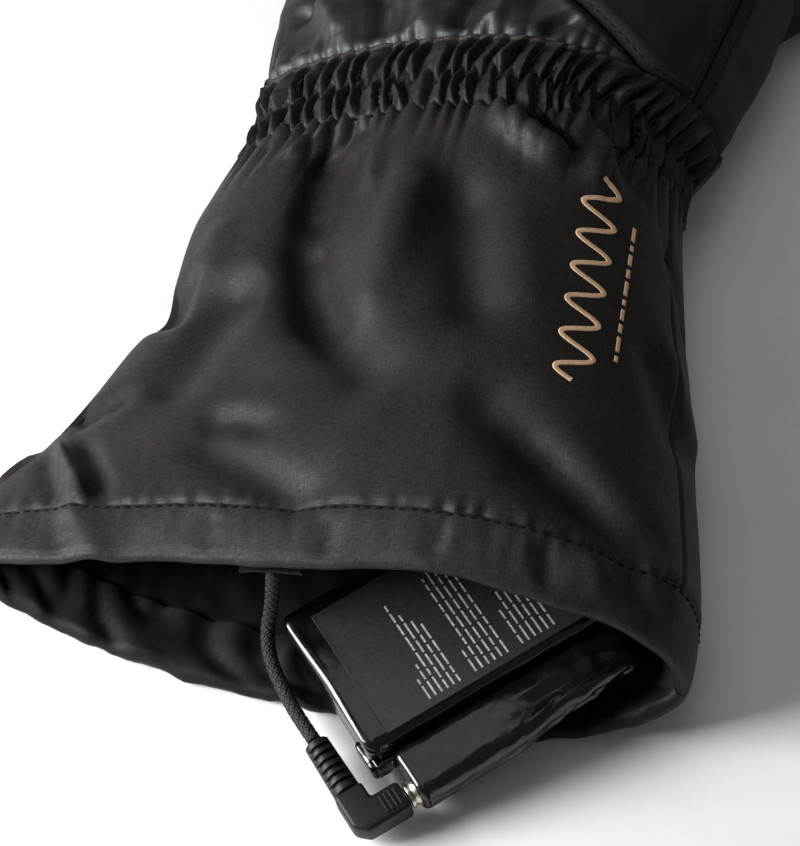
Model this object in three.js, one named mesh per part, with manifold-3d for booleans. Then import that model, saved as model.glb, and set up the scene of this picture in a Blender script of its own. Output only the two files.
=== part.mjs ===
// A heated glove, left hand, lying palm down: a flared gauntlet cuff with a turned hem and a lining,
// a gathered wrist, panels over the hand, a thumb and four fingers, all hollow. A battery pack lies
// in the cuff's mouth, and a short braided cord from a tab under the hem plugs into its side.
// Millimetres. X points to the thumb side, Y to the fingertips, Z up. The origin is the middle of
// the palm's flat resting face.
import * as THREE from "three";
import { mergeVertices } from "three/addons/utils/BufferGeometryUtils.js";
import Module from "manifold-3d";

const wasm = await Module();
wasm.setup();

// Clearance between neighbouring pieces
const fitGap = 0.3;

// Wrist, cuff and hem
const wristLeft = 54.5; // reach of the wrist on the little finger's side
const wristRight = 48.8; // reach of the wrist on the thumb's side
const wristHeight = 45;
const wristPlace = -45; // where the gathers end and the hand begins
const gatherDepth = 23;
const gatherWall = 3;
const gatherRise = 1.5; // how far a pucker stands out of the gathered band
const gatherCount = 21; // puckers across the back
const cuffLength = 125;
const cuffLeft = 91;
const cuffRight = 69;
const cuffHeight = 44;
const cuffWall = 1.6;
const hemDepth = 12;
const hemWall = 3.2;
const hemRoll = 0.6; // rounding of the hem's edges
const rimBulge = 11; // how far the lower rim reaches past the upper one
const liningWall = 1.2;
const sideHeight = 15; // height of the side folds of the lying glove

// Hand
const handLength = 87; // from the gathers to the roots of the fingers
const palmLeft = 57;
const palmRight = 66;
const palmHeight = 47;
const handWall = 3;
const seamHeight = 16; // height of the seam along the little finger's side

// Fingers and thumb
const fingerWall = 3;
const fingerReach = 86; // length of the middle finger
const fingerWidth = 26.6;
const fingerHeight = 33;
const thumbReach = 78;
const thumbWidth = 32;
const thumbHeight = 29;
const thumbHeading = 40; // degrees from +Y towards +X
const thumbInset = 17; // from the palm's right reach in to the middle of the thumb's root
const thumbAlong = 58; // from the wrist to the middle of the thumb's root

const bandLower = wristPlace - gatherDepth;
const hemEdge = bandLower - cuffLength;
const hemStart = hemEdge + hemDepth;
const fingerRoot = wristPlace + handLength;

// Battery, in its own frame: x along it, y to the left of that, z up out of its label, and the
// origin at its near left corner
const batteryLength = 66;
const batteryWidth = 37.2;
const batteryThick = 11;
const batteryRound = 2;
const batteryHeading = 42;
const batteryPitch = 9.5;
const batteryRoll = 2.4;
const batteryCorner = new THREE.Vector3(-15.05, -189.6, 4.5);
const labelThick = 0.35;
const labelStart = 5.3; // bare end of the battery in front of the label
const labelLeft = 4.5; // bare strip on the label's left
const labelRight = 1.4;
const socketWidth = 12.8;
const socketHeight = 8.8;
const socketLength = 52;
const socketStart = 4.3;
const socketRound = 3;
const wrapBevel = 1.2; // bevel at the battery's ends
const socketBevel = 0.8;
const barrelSide = 3.8; // from the socket's outer face to the barrel's axis

// Plug and cord
const barrelDiameter = 5.5;
const barrelLength = 10;
const barrelShown = 2.2; // metal that shows between plug and socket
const plugWidth = 6.4;
const plugHeight = 5.8;
const plugArm = 12.4; // length of the arm that holds the barrel
const plugElbow = 10.3; // from the plug's outer corner to the strain relief
const plugChamfer = 2;
const plugBevel = 1;
const reliefLength = 13.1;
const reliefDiameter = 5.8;
const reliefRibs = 5;
const reliefValley = 0.78; // radius between the ribs, as a share of theirs
const cordDiameter = 3;
const tabWidth = 14;
const tabDepth = 8;
const tabThick = 1.2;
const tabSlope = 12; // degrees, the slope of the wall over it
const tabAcross = -0.184; // place of the tab, as a share of the cuff's left reach
const tabInside = 2; // from the hem's edge in to the middle of the tab

const upperSteps = 26;
const lowerSteps = 16;
const floorSink = 2; // flattening of the lower side where it rests
const cornerDepth = 2.2; // how many walls deep the cuff's pointed left fold is

// Rows of numbers under named columns, as objects
function table(columns, rows) {
  return rows.map((row) => Object.fromEntries(columns.map((name, index) => [name, row[index]])));
}

// Cuff sections from the wrist, 0, to the hem, 1. left and right go from the wrist's reach to the
// hem's, peak is the ridge's place as a share of the reach on the right, top is a share of the
// height there, and the rounds are the exponents of the two shoulders.
const cuffSections = table(
  ["along", "left", "right", "peak", "top", "leftRound", "rightRound"],
  [
    [0.0, 0.0, 0.0, 0.12, 1.0, 1.4, 2.0],
    [0.1, 0.09, 0.11, 0.13, 1.01, 1.4, 2.0],
    [0.2, 0.145, 0.22, 0.14, 1.02, 1.4, 2.0],
    [0.33, 0.137, 0.37, 0.15, 1.03, 1.4, 2.0],
    [0.42, 0.12, 0.49, 0.16, 1.04, 1.35, 2.0],
    [0.47, 0.23, 0.55, 0.17, 1.04, 1.3, 2.0],
    [0.6, 0.38, 0.7, 0.19, 1.05, 1.28, 2.0],
    [0.71, 0.52, 0.84, 0.2, 1.06, 1.26, 2.1],
    [0.82, 0.74, 0.96, 0.21, 1.07, 1.22, 2.4],
    [0.91, 0.88, 1.0, 0.22, 1.06, 1.18, 2.8],
    [1.0, 1.0, 1.0, 0.22, 1.0, 1.1, 2.1],
  ],
);

// Hand sections from the lower edge of the gathers, 0, to the roots of the fingers, 1
const handSections = table(
  ["along", "left", "right", "peak", "top", "leftRound", "rightRound"],
  [
    [0.0, 0.0, 0.0, 0.12, 0.0, 1.4, 2.0],
    [0.1, -0.5, 0.02, 0.12, -0.2, 1.4, 2.0],
    [0.21, 0.1, 0.33, 0.13, 0.0, 1.4, 2.0],
    [0.38, 0.8, 0.62, 0.14, 1.0, 1.5, 2.0],
    [0.57, 1.0, 0.88, 0.12, 0.8, 1.6, 2.1],
    [0.71, 0.9, 0.97, 0.1, -0.2, 1.8, 2.3],
    [0.86, 0.5, 0.75, 0.07, -2.8, 2.2, 2.6],
    [1.0, -0.1, 0.28, 0.04, -5.2, 2.8, 2.8],
  ],
);

// Folds pressed into the back of the cuff, or raised where depth is negative. across is a share of
// the cuff's right reach, along of its length, width and depth of its height.
const cuffFolds = table(
  ["fromAcross", "fromAlong", "toAcross", "toAlong", "width", "depth"],
  [
    [-0.38, 0.1, -0.41, 0.31, 0.17, 0.15],
    [-0.41, 0.31, -0.3, 0.48, 0.17, 0.13],
    [-0.3, 0.48, -0.1, 0.62, 0.15, 0.07],
    [0.04, 0.24, 0.16, 0.45, 0.2, 0.09],
    [-0.62, 0.42, -0.72, 0.62, 0.14, 0.12],
    [-0.52, 0.78, -0.22, 0.88, 0.12, 0.08],
    [0.28, 0.67, 0.47, 0.77, 0.17, 0.08],
    [0.47, 0.77, 0.76, 0.87, 0.17, 0.1],
    [0.1, 0.02, 0.27, 0.09, 0.09, -0.06],
    [0.26, 0.0, 0.44, 0.1, 0.09, -0.06],
    [-0.12, 0.2, -0.18, 0.45, 0.12, -0.06],
    [-0.93, 0.87, -0.8, 0.99, 0.09, -0.05],
  ],
);

// Fingers from left to right: width, height and reach are shares of the named finger sizes, and
// heading is in degrees from +Y towards +X
const fingers = table(
  ["name", "width", "height", "reach", "heading"],
  [
    ["little_finger", 0.93, 0.84, 0.74, -8],
    ["ring_finger", 1.0, 0.97, 0.93, -3.5],
    ["middle_finger", 1.04, 1.0, 1.0, 0.5],
    ["index_finger", 1.04, 0.93, 0.91, 5],
  ],
);

// Finger sections: width and height are shares of the root's, round is the section's exponent
const fingerSections = table(
  ["along", "width", "height", "round"],
  [
    [0.0, 1.0, 1.0, 4.5],
    [0.12, 0.985, 0.99, 3.6],
    [0.35, 0.96, 0.93, 2.8],
    [0.6, 0.93, 0.86, 2.5],
    [0.8, 0.87, 0.78, 2.3],
    [0.92, 0.7, 0.64, 2.1],
    [0.98, 0.42, 0.4, 2.0],
  ],
);

// How the lower rim's bulge dies away towards each side fold
const rimShape = { left: { bend: 3, ease: 1.6 }, right: { bend: 1.2, ease: 0.6 } };

// Side seam on the plan of the hand: along is a share of its length, across of its right reach
const sideSeam = table(
  ["along", "across"],
  [
    [-0.046, 0.86],
    [0.23, 0.854],
    [0.506, 0.851],
    [0.759, 0.85],
    [1.046, 0.951],
  ],
);

// Diagonal seam between the back panel and the knuckle panel, from end to end on the plan: along
// is a share of the hand's length, across of the wrist's right reach and of the palm's left reach
const backSeam = { rightAlong: -0.092, rightAcross: 0.98, leftAlong: 0.759, leftAcross: -1.053 };

// The cord's route from its tab under the hem, over the lower rim, to the strain relief
const cordPoints = [
  [-16.6, -191.2, 31.0],
  [-16.8, -191.3, 26.5],
  [-17.1, -191.5, 21],
  [-17.6, -191.8, 16],
  [-17.9, -193.2, 12],
  [-17.0, -196.2, 9.0],
  [-14.9, -199.8, 7.4],
  [-12.0, -203.7, 6.6],
  [-9.2, -207.3, 6.4],
  [-6.3, -210.6, 6.45],
  [-3.45, -213.75, 6.6],
];

// Value of one column at a place along a table, on a smooth curve through its rows
function readTable(rows, along, column) {
  const last = rows.length - 1;
  let index = 0;
  while (index < last - 1 && along > rows[index + 1].along) index += 1;
  const [a, b] = [rows[index], rows[index + 1]];
  const before = rows[Math.max(index - 1, 0)];
  const after = rows[Math.min(index + 2, last)];
  const span = b.along - a.along;
  const share = Math.min(Math.max((along - a.along) / span, 0), 1);
  const slopeA = ((b[column] - before[column]) / (b.along - before.along)) * span;
  const slopeB = ((after[column] - a[column]) / (after.along - a.along)) * span;
  const s2 = share * share;
  const s3 = s2 * share;
  return (
    (2 * s3 - 3 * s2 + 1) * a[column] +
    (s3 - 2 * s2 + share) * slopeA +
    (3 * s2 - 2 * s3) * b[column] +
    (s3 - s2) * slopeB
  );
}

const mix = (from, to, share) => from + (to - from) * share;

// Reaches, ridge and height of the glove's section at a place along it
function sectionAt(place) {
  const inCuff = place < bandLower;
  const rows = inCuff ? cuffSections : handSections;
  const along = inCuff
    ? (bandLower - place) / cuffLength
    : (place - bandLower) / (fingerRoot - bandLower);
  const read = (column) => readTable(rows, along, column);
  const left = mix(wristLeft, inCuff ? cuffLeft : palmLeft, read("left"));
  const right = mix(wristRight, inCuff ? cuffRight : palmRight, read("right"));
  const top = inCuff
    ? mix(wristHeight, cuffHeight, along) * read("top")
    : mix(wristHeight, palmHeight, read("top"));
  return {
    along,
    inCuff,
    left,
    right,
    top,
    peak: right * read("peak"),
    leftRound: read("leftRound"),
    rightRound: read("rightRound"),
  };
}

// How far the folds press the back of the cuff down at one place. Where troughs meet, the deeper one
// counts, so that a long trough has no pit at its bends; ridges do the same.
function foldDrop(x, place) {
  let trough = 0;
  let ridge = 0;
  for (const fold of cuffFolds) {
    const fromX = fold.fromAcross * cuffRight;
    const fromY = bandLower - fold.fromAlong * cuffLength;
    const toX = fold.toAcross * cuffRight;
    const toY = bandLower - fold.toAlong * cuffLength;
    const runX = toX - fromX;
    const runY = toY - fromY;
    const share = ((x - fromX) * runX + (place - fromY) * runY) / (runX * runX + runY * runY);
    const held = Math.min(Math.max(share, 0), 1);
    const away = Math.hypot(x - fromX - held * runX, place - fromY - held * runY);
    const drop = fold.depth * cuffHeight * Math.exp(-((away / (fold.width * cuffHeight)) ** 2));
    trough = Math.max(trough, drop);
    ridge = Math.min(ridge, drop);
  }
  return trough + ridge;
}

// Steps round a section: u goes from -1, the left fold, to 1, the right fold, over and under
function stepsRound(upper, lower) {
  const steps = [];
  for (let i = 0; i <= upper; i += 1) {
    steps.push({ u: Math.sin(Math.PI * (i / upper - 0.5)), over: true });
  }
  for (let i = 1; i < lower; i += 1) {
    steps.push({ u: Math.sin(Math.PI * (0.5 - i / lower)), over: false });
  }
  return steps;
}

// One closed ring of the glove's section, inset by a depth from the outer face
function gloveRing(place, inset, steps, rise = () => 0) {
  const section = sectionAt(place);
  const cuffShare = section.inCuff ? section.along : 0;
  return steps.map(({ u, over }) => {
    const onLeft = u < 0;
    const reach = onLeft ? section.left + section.peak : section.right - section.peak;
    const round = onLeft ? section.leftRound : section.rightRound;
    const corner = inset * (onLeft ? mix(1, cornerDepth, cuffShare) : 1);
    const faceX = section.peak + u * reach;
    const x = faceX - Math.sign(u) * corner * u ** 4;
    const exponent = over ? round : 2;
    const arch = Math.max(1 - Math.abs(u) ** exponent, 0) ** (1 / exponent);
    const depth = inset * arch ** 0.3;
    if (!over) {
      const z = sideHeight - (sideHeight + floorSink) * arch + depth;
      const { bend, ease } = onLeft ? rimShape.left : rimShape.right;
      const bulge = rimBulge * cuffShare ** 3 * (1 - Math.abs(u) ** bend) ** ease;
      return [x, place - bulge, Math.max(z, inset, 0)];
    }
    const drop = section.inCuff ? foldDrop(faceX, place) * Math.sqrt(arch) : 0;
    return [x, place, sideHeight + (section.top - sideHeight + rise(u)) * arch - depth - drop];
  });
}

// Geometry of rings joined one to the next; a loop closes the last ring onto the first, and
// otherwise an end point or a fan closes each end
function skin(rings, { loop = false, startPole = null, endPole = null } = {}) {
  const around = rings[0].length;
  const points = rings.flat();
  const faces = [];
  const pairs = loop ? rings.length : rings.length - 1;
  for (let r = 0; r < pairs; r += 1) {
    const here = r * around;
    const next = ((r + 1) % rings.length) * around;
    // Both faces of a wall split their squares the same way, so that they stay parallel
    const forward = points[next][1] > points[here][1];
    for (let i = 0; i < around; i += 1) {
      const j = (i + 1) % around;
      if (forward) faces.push([here + i, next + i, next + j], [here + i, next + j, here + j]);
      else faces.push([here + i, next + i, here + j], [next + i, next + j, here + j]);
    }
  }
  const closeEnd = (ring, start, pole, turned) => {
    const middle = [0, 1, 2].map((k) => ring.reduce((sum, point) => sum + point[k], 0) / around);
    points.push(pole ?? middle);
    const centre = points.length - 1;
    for (let i = 0; i < around; i += 1) {
      const j = (i + 1) % around;
      const [a, b] = turned ? [j, i] : [i, j];
      faces.push([centre, start + a, start + b]);
    }
  };
  if (!loop) {
    closeEnd(rings[0], 0, startPole, false);
    closeEnd(rings[rings.length - 1], (rings.length - 1) * around, endPole, true);
  }
  return outward(points, faces);
}

// Indexed geometry with its faces turned outwards
function outward(points, faces) {
  let volume = 0;
  for (const [a, b, c] of faces) {
    const [p, q, r] = [points[a], points[b], points[c]];
    volume += p[0] * (q[1] * r[2] - q[2] * r[1]);
    volume += p[1] * (q[2] * r[0] - q[0] * r[2]);
    volume += p[2] * (q[0] * r[1] - q[1] * r[0]);
  }
  const turned = volume < 0 ? faces.map(([a, b, c]) => [a, c, b]) : faces;
  const geometry = new THREE.BufferGeometry();
  geometry.setAttribute("position", new THREE.Float32BufferAttribute(points.flat(), 3));
  geometry.setIndex(turned.flat());
  return geometry;
}

function toSolid(geometry) {
  const bare = geometry.clone();
  bare.deleteAttribute("normal");
  bare.deleteAttribute("uv");
  const merged = mergeVertices(bare, 1e-4);
  const mesh = new wasm.Mesh({
    numProp: 3,
    vertProperties: new Float32Array(merged.attributes.position.array),
    triVerts: new Uint32Array(merged.index.array),
  });
  return new wasm.Manifold(mesh);
}

function toGeometry(solid) {
  const mesh = solid.getMesh();
  const geometry = new THREE.BufferGeometry();
  geometry.setAttribute("position", new THREE.BufferAttribute(mesh.vertProperties, 3));
  geometry.setIndex(new THREE.BufferAttribute(mesh.triVerts, 1));
  return geometry;
}

// Evenly spaced places from one to another, both ends included
function spread(from, to, count) {
  return Array.from({ length: count }, (_, index) => mix(from, to, index / (count - 1)));
}

const steps = stepsRound(upperSteps, lowerSteps);

// A tube wall between two places along the glove
function tubeWall(from, to, outerInset, wall, outerRings, innerRings) {
  const outer = spread(from, to, outerRings).map((place) => gloveRing(place, outerInset, steps));
  const inner = spread(to, from, innerRings).map((place) => gloveRing(place, outerInset + wall, steps));
  return skin([...outer, ...inner], { loop: true });
}

function makeGauntlet() {
  return tubeWall(hemStart + fitGap, bandLower - fitGap, 0, cuffWall, 12, 12);
}

function makeLining() {
  const inset = cuffWall + fitGap;
  return tubeWall(hemStart + fitGap, bandLower - fitGap, inset, liningWall, 12, 6);
}

// The turned hem, with rounded edges: out is how far a ring stands out of the cuff's face
function makeHem() {
  const profile = table(
    ["along", "inset"],
    [
      [0.0, 0.0],
      [0.3, -hemRoll],
      [0.75, -hemRoll],
      [1.0, hemRoll],
      [1.0, hemWall - hemRoll],
      [0.75, hemWall],
      [0.3, hemWall],
      [0.0, hemWall - hemRoll],
    ],
  );
  const rings = profile.map(({ along, inset }) => gloveRing(mix(hemStart, hemEdge, along), inset, steps));
  return skin(rings, { loop: true });
}

// The gathered band: two rows of puckers between three lines of elastic, set half a pitch apart
function makeGathers() {
  const fine = stepsRound(gatherCount * 4, lowerSteps);
  const rows = table(
    ["along", "rise", "phase"],
    [
      [0.0, 0.0, 0],
      [0.26, 1.0, 0],
      [0.5, 0.0, 0],
      [0.74, 1.0, 0.5],
      [1.0, 0.0, 0],
    ],
  );
  const from = bandLower;
  const to = wristPlace - fitGap;
  const outer = rows.map(({ along, rise, phase }) => {
    const wave = (u) => {
      const turn = Math.asin(Math.min(Math.max(u, -1), 1)) / Math.PI + 0.5;
      return gatherRise * (rise * Math.cos(2 * Math.PI * (gatherCount * turn + phase)) - 0.5);
    };
    return gloveRing(mix(from, to, along), 0, fine, wave);
  });
  const inner = [1, 0].map((along) => gloveRing(mix(from, to, along), gatherWall, fine));
  return skin([...outer, ...inner], { loop: true });
}

// The hand's outer form as a full block, grown by a clearance and carried down past the floor
function handBlock(outset) {
  const places = spread(wristPlace - outset, fingerRoot + outset, 9);
  const sunk = ([x, y, z]) => [x, y, z > 0 ? z : -outset];
  return toSolid(skin(places.map((place) => gloveRing(place, -outset, steps).map(sunk))));
}

function handShell() {
  return toSolid(tubeWall(wristPlace, fingerRoot, 0, handWall, 9, 9));
}

// An upright block over a plan outline
function uprightBlock(outline, bottom, top) {
  const shape = new THREE.Shape(outline.map(([x, y]) => new THREE.Vector2(x, y)));
  const geometry = new THREE.ExtrudeGeometry(shape, { depth: top - bottom, bevelEnabled: false });
  geometry.translate(0, 0, bottom);
  return toSolid(geometry);
}

// Place along the glove of the diagonal seam at one x on the plan
function backSeamY(x) {
  const leftX = backSeam.leftAcross * palmLeft;
  const rightX = backSeam.rightAcross * wristRight;
  const leftY = wristPlace + backSeam.leftAlong * handLength;
  const rightY = wristPlace + backSeam.rightAlong * handLength;
  return mix(leftY, rightY, (x - leftX) / (rightX - leftX));
}

// Points of the side seam on the plan
function sideSeamPoints() {
  return sideSeam.map(({ along, across }) => {
    const place = wristPlace + along * handLength;
    return [across * sectionAt(Math.min(place, fingerRoot)).right, place];
  });
}

// The three panels of the hand: the sheeny back, the softshell over the knuckles, and the palm
function makeHandPanels(thumbHollow) {
  const shell = handShell();
  const above = palmHeight * 2;
  const farLeft = -palmLeft * 2;
  const front = wristPlace - handLength;
  const farRight = backSeam.rightAcross * wristRight;
  const backOutline = (shift) => [
    [farLeft, front],
    [farRight, front],
    [farRight, backSeamY(farRight) - shift],
    [farLeft, backSeamY(farLeft) - shift],
  ];
  const seamPoints = sideSeamPoints();
  const topOutline = (shift) => [
    [farLeft, front],
    [seamPoints[0][0] + shift, front],
    ...seamPoints.map(([x, y]) => [x + shift, y]),
    [farLeft, fingerRoot + handLength],
  ];
  const top = uprightBlock(topOutline(0), seamHeight, above);
  const topGrown = uprightBlock(topOutline(fitGap), seamHeight - fitGap, above);
  const below = uprightBlock(backOutline(0), -above, above * 2);
  const belowCut = uprightBlock(backOutline(fitGap), -above, above * 2);
  const cover = shell.intersect(top);
  return {
    back_panel: toGeometry(cover.intersect(belowCut)),
    knuckle_panel: toGeometry(cover.subtract(below)),
    palm_panel: toGeometry(shell.subtract(topGrown).subtract(thumbHollow)),
  };
}

// One ring of a finger that lies on its flat underside
function fingerRing(centreX, place, width, height, round, inset, around) {
  const [halfWidth, halfHeight] = [width / 2, height / 2];
  return Array.from({ length: around }, (_, index) => {
    const turn = (2 * Math.PI * (index + 0.5)) / around;
    const bend = (value) => Math.sign(value) * Math.abs(value) ** (2 / round);
    const x = centreX + (halfWidth - inset) * bend(Math.cos(turn));
    const z = halfHeight + (halfHeight + floorSink - inset) * bend(Math.sin(turn));
    return [x, place, Math.min(Math.max(z, inset), height - inset)];
  });
}

const fingerSteps = 16;
const tipLift = 0.19; // height of a finger's tip, as a share of its root's
const innerTipLift = 0.25; // the same for the hollow's tip
const tipWall = 1.6; // how many walls thick the padding is at the tip

function makeFinger(leftEdge, finger) {
  const width = finger.width * fingerWidth;
  const height = finger.height * fingerHeight;
  const reach = finger.reach * fingerReach;
  const root = fingerRoot + fitGap;
  const slope = Math.tan(THREE.MathUtils.degToRad(finger.heading));
  const ringsOf = (inset, length) =>
    fingerSections.map((row) => {
      const away = row.along * length;
      const centreX = leftEdge + width / 2 + away * slope;
      const size = [row.width * width, row.height * height];
      return fingerRing(centreX, root + away, ...size, row.round, inset, fingerSteps);
    });
  const outer = ringsOf(0, reach);
  const inner = ringsOf(fingerWall, reach - fingerWall).slice(0, -1);
  const centre = leftEdge + width / 2;
  const innerReach = reach - tipWall * fingerWall;
  const tip = [centre + reach * slope, root + reach, height * tipLift];
  const innerTip = [centre + innerReach * slope, root + innerReach, height * innerTipLift];
  return cup(outer, inner, tip, innerTip);
}

// A wall closed at one end: outer rings to the tip's point, and inner rings back to the mouth
function cup(outer, inner, tip, innerTip) {
  const rings = [...inner.slice().reverse(), ...outer];
  return skin(rings, { startPole: innerTip, endPole: tip });
}

// The thumb lies beside the palm, turned about the origin of its own root
function thumbRings(inset, start, length) {
  const heading = THREE.MathUtils.degToRad(thumbHeading);
  const rootX = palmRight - thumbInset;
  const rootY = wristPlace + thumbAlong;
  return fingerSections.map((row) => {
    const away = start + row.along * (length - start);
    const ring = fingerRing(
      0, away, row.width * thumbWidth, row.height * thumbHeight, Math.min(row.round, 3), inset, fingerSteps,
    );
    return ring.map(([x, y, z]) => [
      rootX + x * Math.cos(heading) + y * Math.sin(heading),
      rootY - x * Math.sin(heading) + y * Math.cos(heading),
      z,
    ]);
  });
}

function thumbTip(length, height) {
  const heading = THREE.MathUtils.degToRad(thumbHeading);
  return [
    palmRight - thumbInset + length * Math.sin(heading),
    wristPlace + thumbAlong + length * Math.cos(heading),
    height,
  ];
}

function makeThumb() {
  const outer = thumbRings(0, 0, thumbReach);
  const inner = thumbRings(fingerWall, 0, thumbReach - fingerWall).slice(0, -1);
  const tip = thumbTip(thumbReach, thumbHeight * tipLift);
  const innerTip = thumbTip(thumbReach - tipWall * fingerWall, thumbHeight * innerTipLift);
  const shell = toSolid(cup(outer, inner, tip, innerTip));
  return toGeometry(shell.subtract(handBlock(fitGap)));
}

function thumbHollow() {
  const inner = thumbRings(fingerWall, 0, thumbReach - fingerWall).slice(0, -1);
  return toSolid(skin(inner));
}

// Rounded bar along x: a rounded outline across it, with bevelled ends
function roundedBar(length, width, height, round, bevel) {
  const w = width - 2 * bevel;
  const h = height - 2 * bevel;
  const shape = new THREE.Shape();
  const r = Math.min(round - bevel, w / 2, h / 2) * 0.99;
  shape.moveTo(r, 0).lineTo(w - r, 0).absarc(w - r, r, r, -Math.PI / 2, 0);
  shape.lineTo(w, h - r).absarc(w - r, h - r, r, 0, Math.PI / 2);
  shape.lineTo(r, h).absarc(r, h - r, r, Math.PI / 2, Math.PI);
  shape.lineTo(0, r).absarc(r, r, r, Math.PI, 1.5 * Math.PI);
  const geometry = new THREE.ExtrudeGeometry(shape, {
    depth: length - 2 * bevel,
    bevelSize: bevel,
    bevelThickness: bevel,
    bevelSegments: 1,
    curveSegments: 3,
  });
  // The shape's x runs across, its y up and the extrusion along: turn it so that z is up
  geometry.translate(bevel, bevel, bevel);
  geometry.applyMatrix4(new THREE.Matrix4().set(0, 0, 1, 0, 1, 0, 0, 0, 0, 1, 0, 0, 0, 0, 0, 1));
  return geometry;
}

const socketSide = -batteryWidth - fitGap - socketWidth; // outer face of the socket block
const plugAxis = socketSide + barrelSide; // place of the barrel across the battery
const plugLift = socketHeight / 2; // height of the barrel over the battery's underside
const plugFace = socketStart - barrelShown; // end face of the plug's arm

function makeSocket() {
  const block = roundedBar(socketLength, socketWidth, socketHeight, socketRound, socketBevel);
  block.translate(socketStart, socketSide, 0);
  const bore = new THREE.CylinderGeometry(
    barrelDiameter / 2 + fitGap, barrelDiameter / 2 + fitGap, 2 * barrelLength, 20,
  );
  bore.rotateZ(Math.PI / 2);
  bore.translate(socketStart, plugAxis, plugLift);
  return toGeometry(toSolid(block).subtract(toSolid(bore)));
}

function makeBarrel() {
  const geometry = new THREE.CylinderGeometry(barrelDiameter / 2, barrelDiameter / 2, barrelLength, 20);
  geometry.rotateZ(Math.PI / 2);
  geometry.translate(plugFace + fitGap + barrelLength / 2, plugAxis, plugLift);
  return geometry;
}

// The right-angled plug: one arm holds the barrel, the other the strain relief
function makePlug() {
  const near = plugFace - plugArm;
  const outerSide = plugAxis - plugWidth / 2;
  const reliefSide = outerSide + plugElbow;
  const outline = [
    [near + plugChamfer, outerSide],
    [plugFace, outerSide],
    [plugFace, outerSide + plugWidth],
    [near + plugWidth, outerSide + plugWidth],
    [near + plugWidth, reliefSide],
    [near, reliefSide],
    [near, outerSide + plugChamfer],
  ];
  const shape = new THREE.Shape(outline.map(([x, y]) => new THREE.Vector2(x, y)));
  const geometry = new THREE.ExtrudeGeometry(shape, {
    depth: plugHeight - 2 * plugBevel,
    bevelSize: plugBevel,
    bevelOffset: -plugBevel,
    bevelThickness: plugBevel,
    bevelSegments: 2,
  });
  geometry.translate(0, 0, plugLift - plugHeight / 2 + plugBevel);
  return geometry;
}

function makeRelief() {
  const points = [[0, 0]];
  const pitch = reliefLength / reliefRibs;
  const crest = reliefDiameter / 2;
  const valley = crest * reliefValley;
  for (let rib = 0; rib < reliefRibs; rib += 1) {
    const start = rib * pitch;
    points.push([crest, start], [crest, start + pitch * 0.5], [valley, start + pitch * 0.75]);
  }
  points.push([valley, reliefLength], [0, reliefLength]);
  const profile = points.map(([radius, height]) => new THREE.Vector2(radius, height));
  const geometry = new THREE.LatheGeometry(profile, 12);
  // The lathe's axis is y, so the strain relief runs from the plug back along the battery's end
  const near = plugFace - plugArm + plugWidth / 2;
  const reliefSide = plugAxis - plugWidth / 2 + plugElbow + fitGap;
  geometry.translate(near, reliefSide, plugLift);
  return geometry;
}

function makeCord() {
  const curve = new THREE.CatmullRomCurve3(cordPoints.map((point) => new THREE.Vector3(...point)));
  const section = new THREE.Shape();
  const sides = 8;
  for (let side = 0; side < sides; side += 1) {
    const turn = (2 * Math.PI * side) / sides;
    const [x, y] = [(cordDiameter / 2) * Math.cos(turn), (cordDiameter / 2) * Math.sin(turn)];
    if (side === 0) section.moveTo(x, y);
    else section.lineTo(x, y);
  }
  return new THREE.ExtrudeGeometry(section, { extrudePath: curve, steps: 16, bevelEnabled: false });
}

// A folded tab under the hem that the cord comes out of
function makeTab() {
  return new THREE.BoxGeometry(tabWidth, tabDepth, tabThick, 3, 1, 1);
}

const colours = {
  satin: { color: 0x2b2726, roughness: 0.55 },
  lining: { color: 0x111112, roughness: 0.7 },
  sheen: { color: 0x3a3b41, roughness: 0.45 },
  softshell: { color: 0x1d1c1c, roughness: 0.85 },
  palm: { color: 0x2f2d30, roughness: 0.8 },
  wrap: { color: 0x0b0c0f, roughness: 0.15 },
  label: { color: 0x1a1a1b, roughness: 0.4 },
  rubber: { color: 0x1c1c1d, roughness: 0.5 },
  nickel: { color: 0xb9b6ac, roughness: 0.3, metalness: 1 },
  braid: { color: 0x1b1b1c, roughness: 0.8 },
};

function piece(name, geometry, finish) {
  const material = new THREE.MeshStandardMaterial({ metalness: 0, ...colours[finish] });
  const mesh = new THREE.Mesh(geometry, material);
  mesh.name = name;
  return mesh;
}

const glove = new THREE.Group();
glove.add(piece("gauntlet", makeGauntlet(), "satin"));
glove.add(piece("gauntlet_hem", makeHem(), "satin"));
glove.add(piece("cuff_lining", makeLining(), "lining"));
glove.add(piece("wrist_gathers", makeGathers(), "satin"));

const panelFinish = { back_panel: "sheen", knuckle_panel: "softshell", palm_panel: "palm" };
for (const [name, geometry] of Object.entries(makeHandPanels(thumbHollow()))) {
  glove.add(piece(name, geometry, panelFinish[name]));
}
glove.add(piece("thumb", makeThumb(), "palm"));

const rootSpan = fingers.reduce((sum, finger) => sum + finger.width * fingerWidth + fitGap, -fitGap);
let leftEdge = -rootSpan / 2;
for (const finger of fingers) {
  glove.add(piece(finger.name, makeFinger(leftEdge, finger), "palm"));
  leftEdge += finger.width * fingerWidth + fitGap;
}

function makeBattery() {
  const geometry = roundedBar(batteryLength, batteryWidth, batteryThick, batteryRound, wrapBevel);
  return geometry.translate(0, -batteryWidth, 0);
}

function makeLabel() {
  const length = batteryLength - 2 * labelStart;
  const width = batteryWidth - labelLeft - labelRight;
  const geometry = new THREE.BoxGeometry(length, width, labelThick);
  const lift = batteryThick + fitGap + labelThick / 2;
  return geometry.translate(labelStart + length / 2, -labelLeft - width / 2, lift);
}

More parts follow.
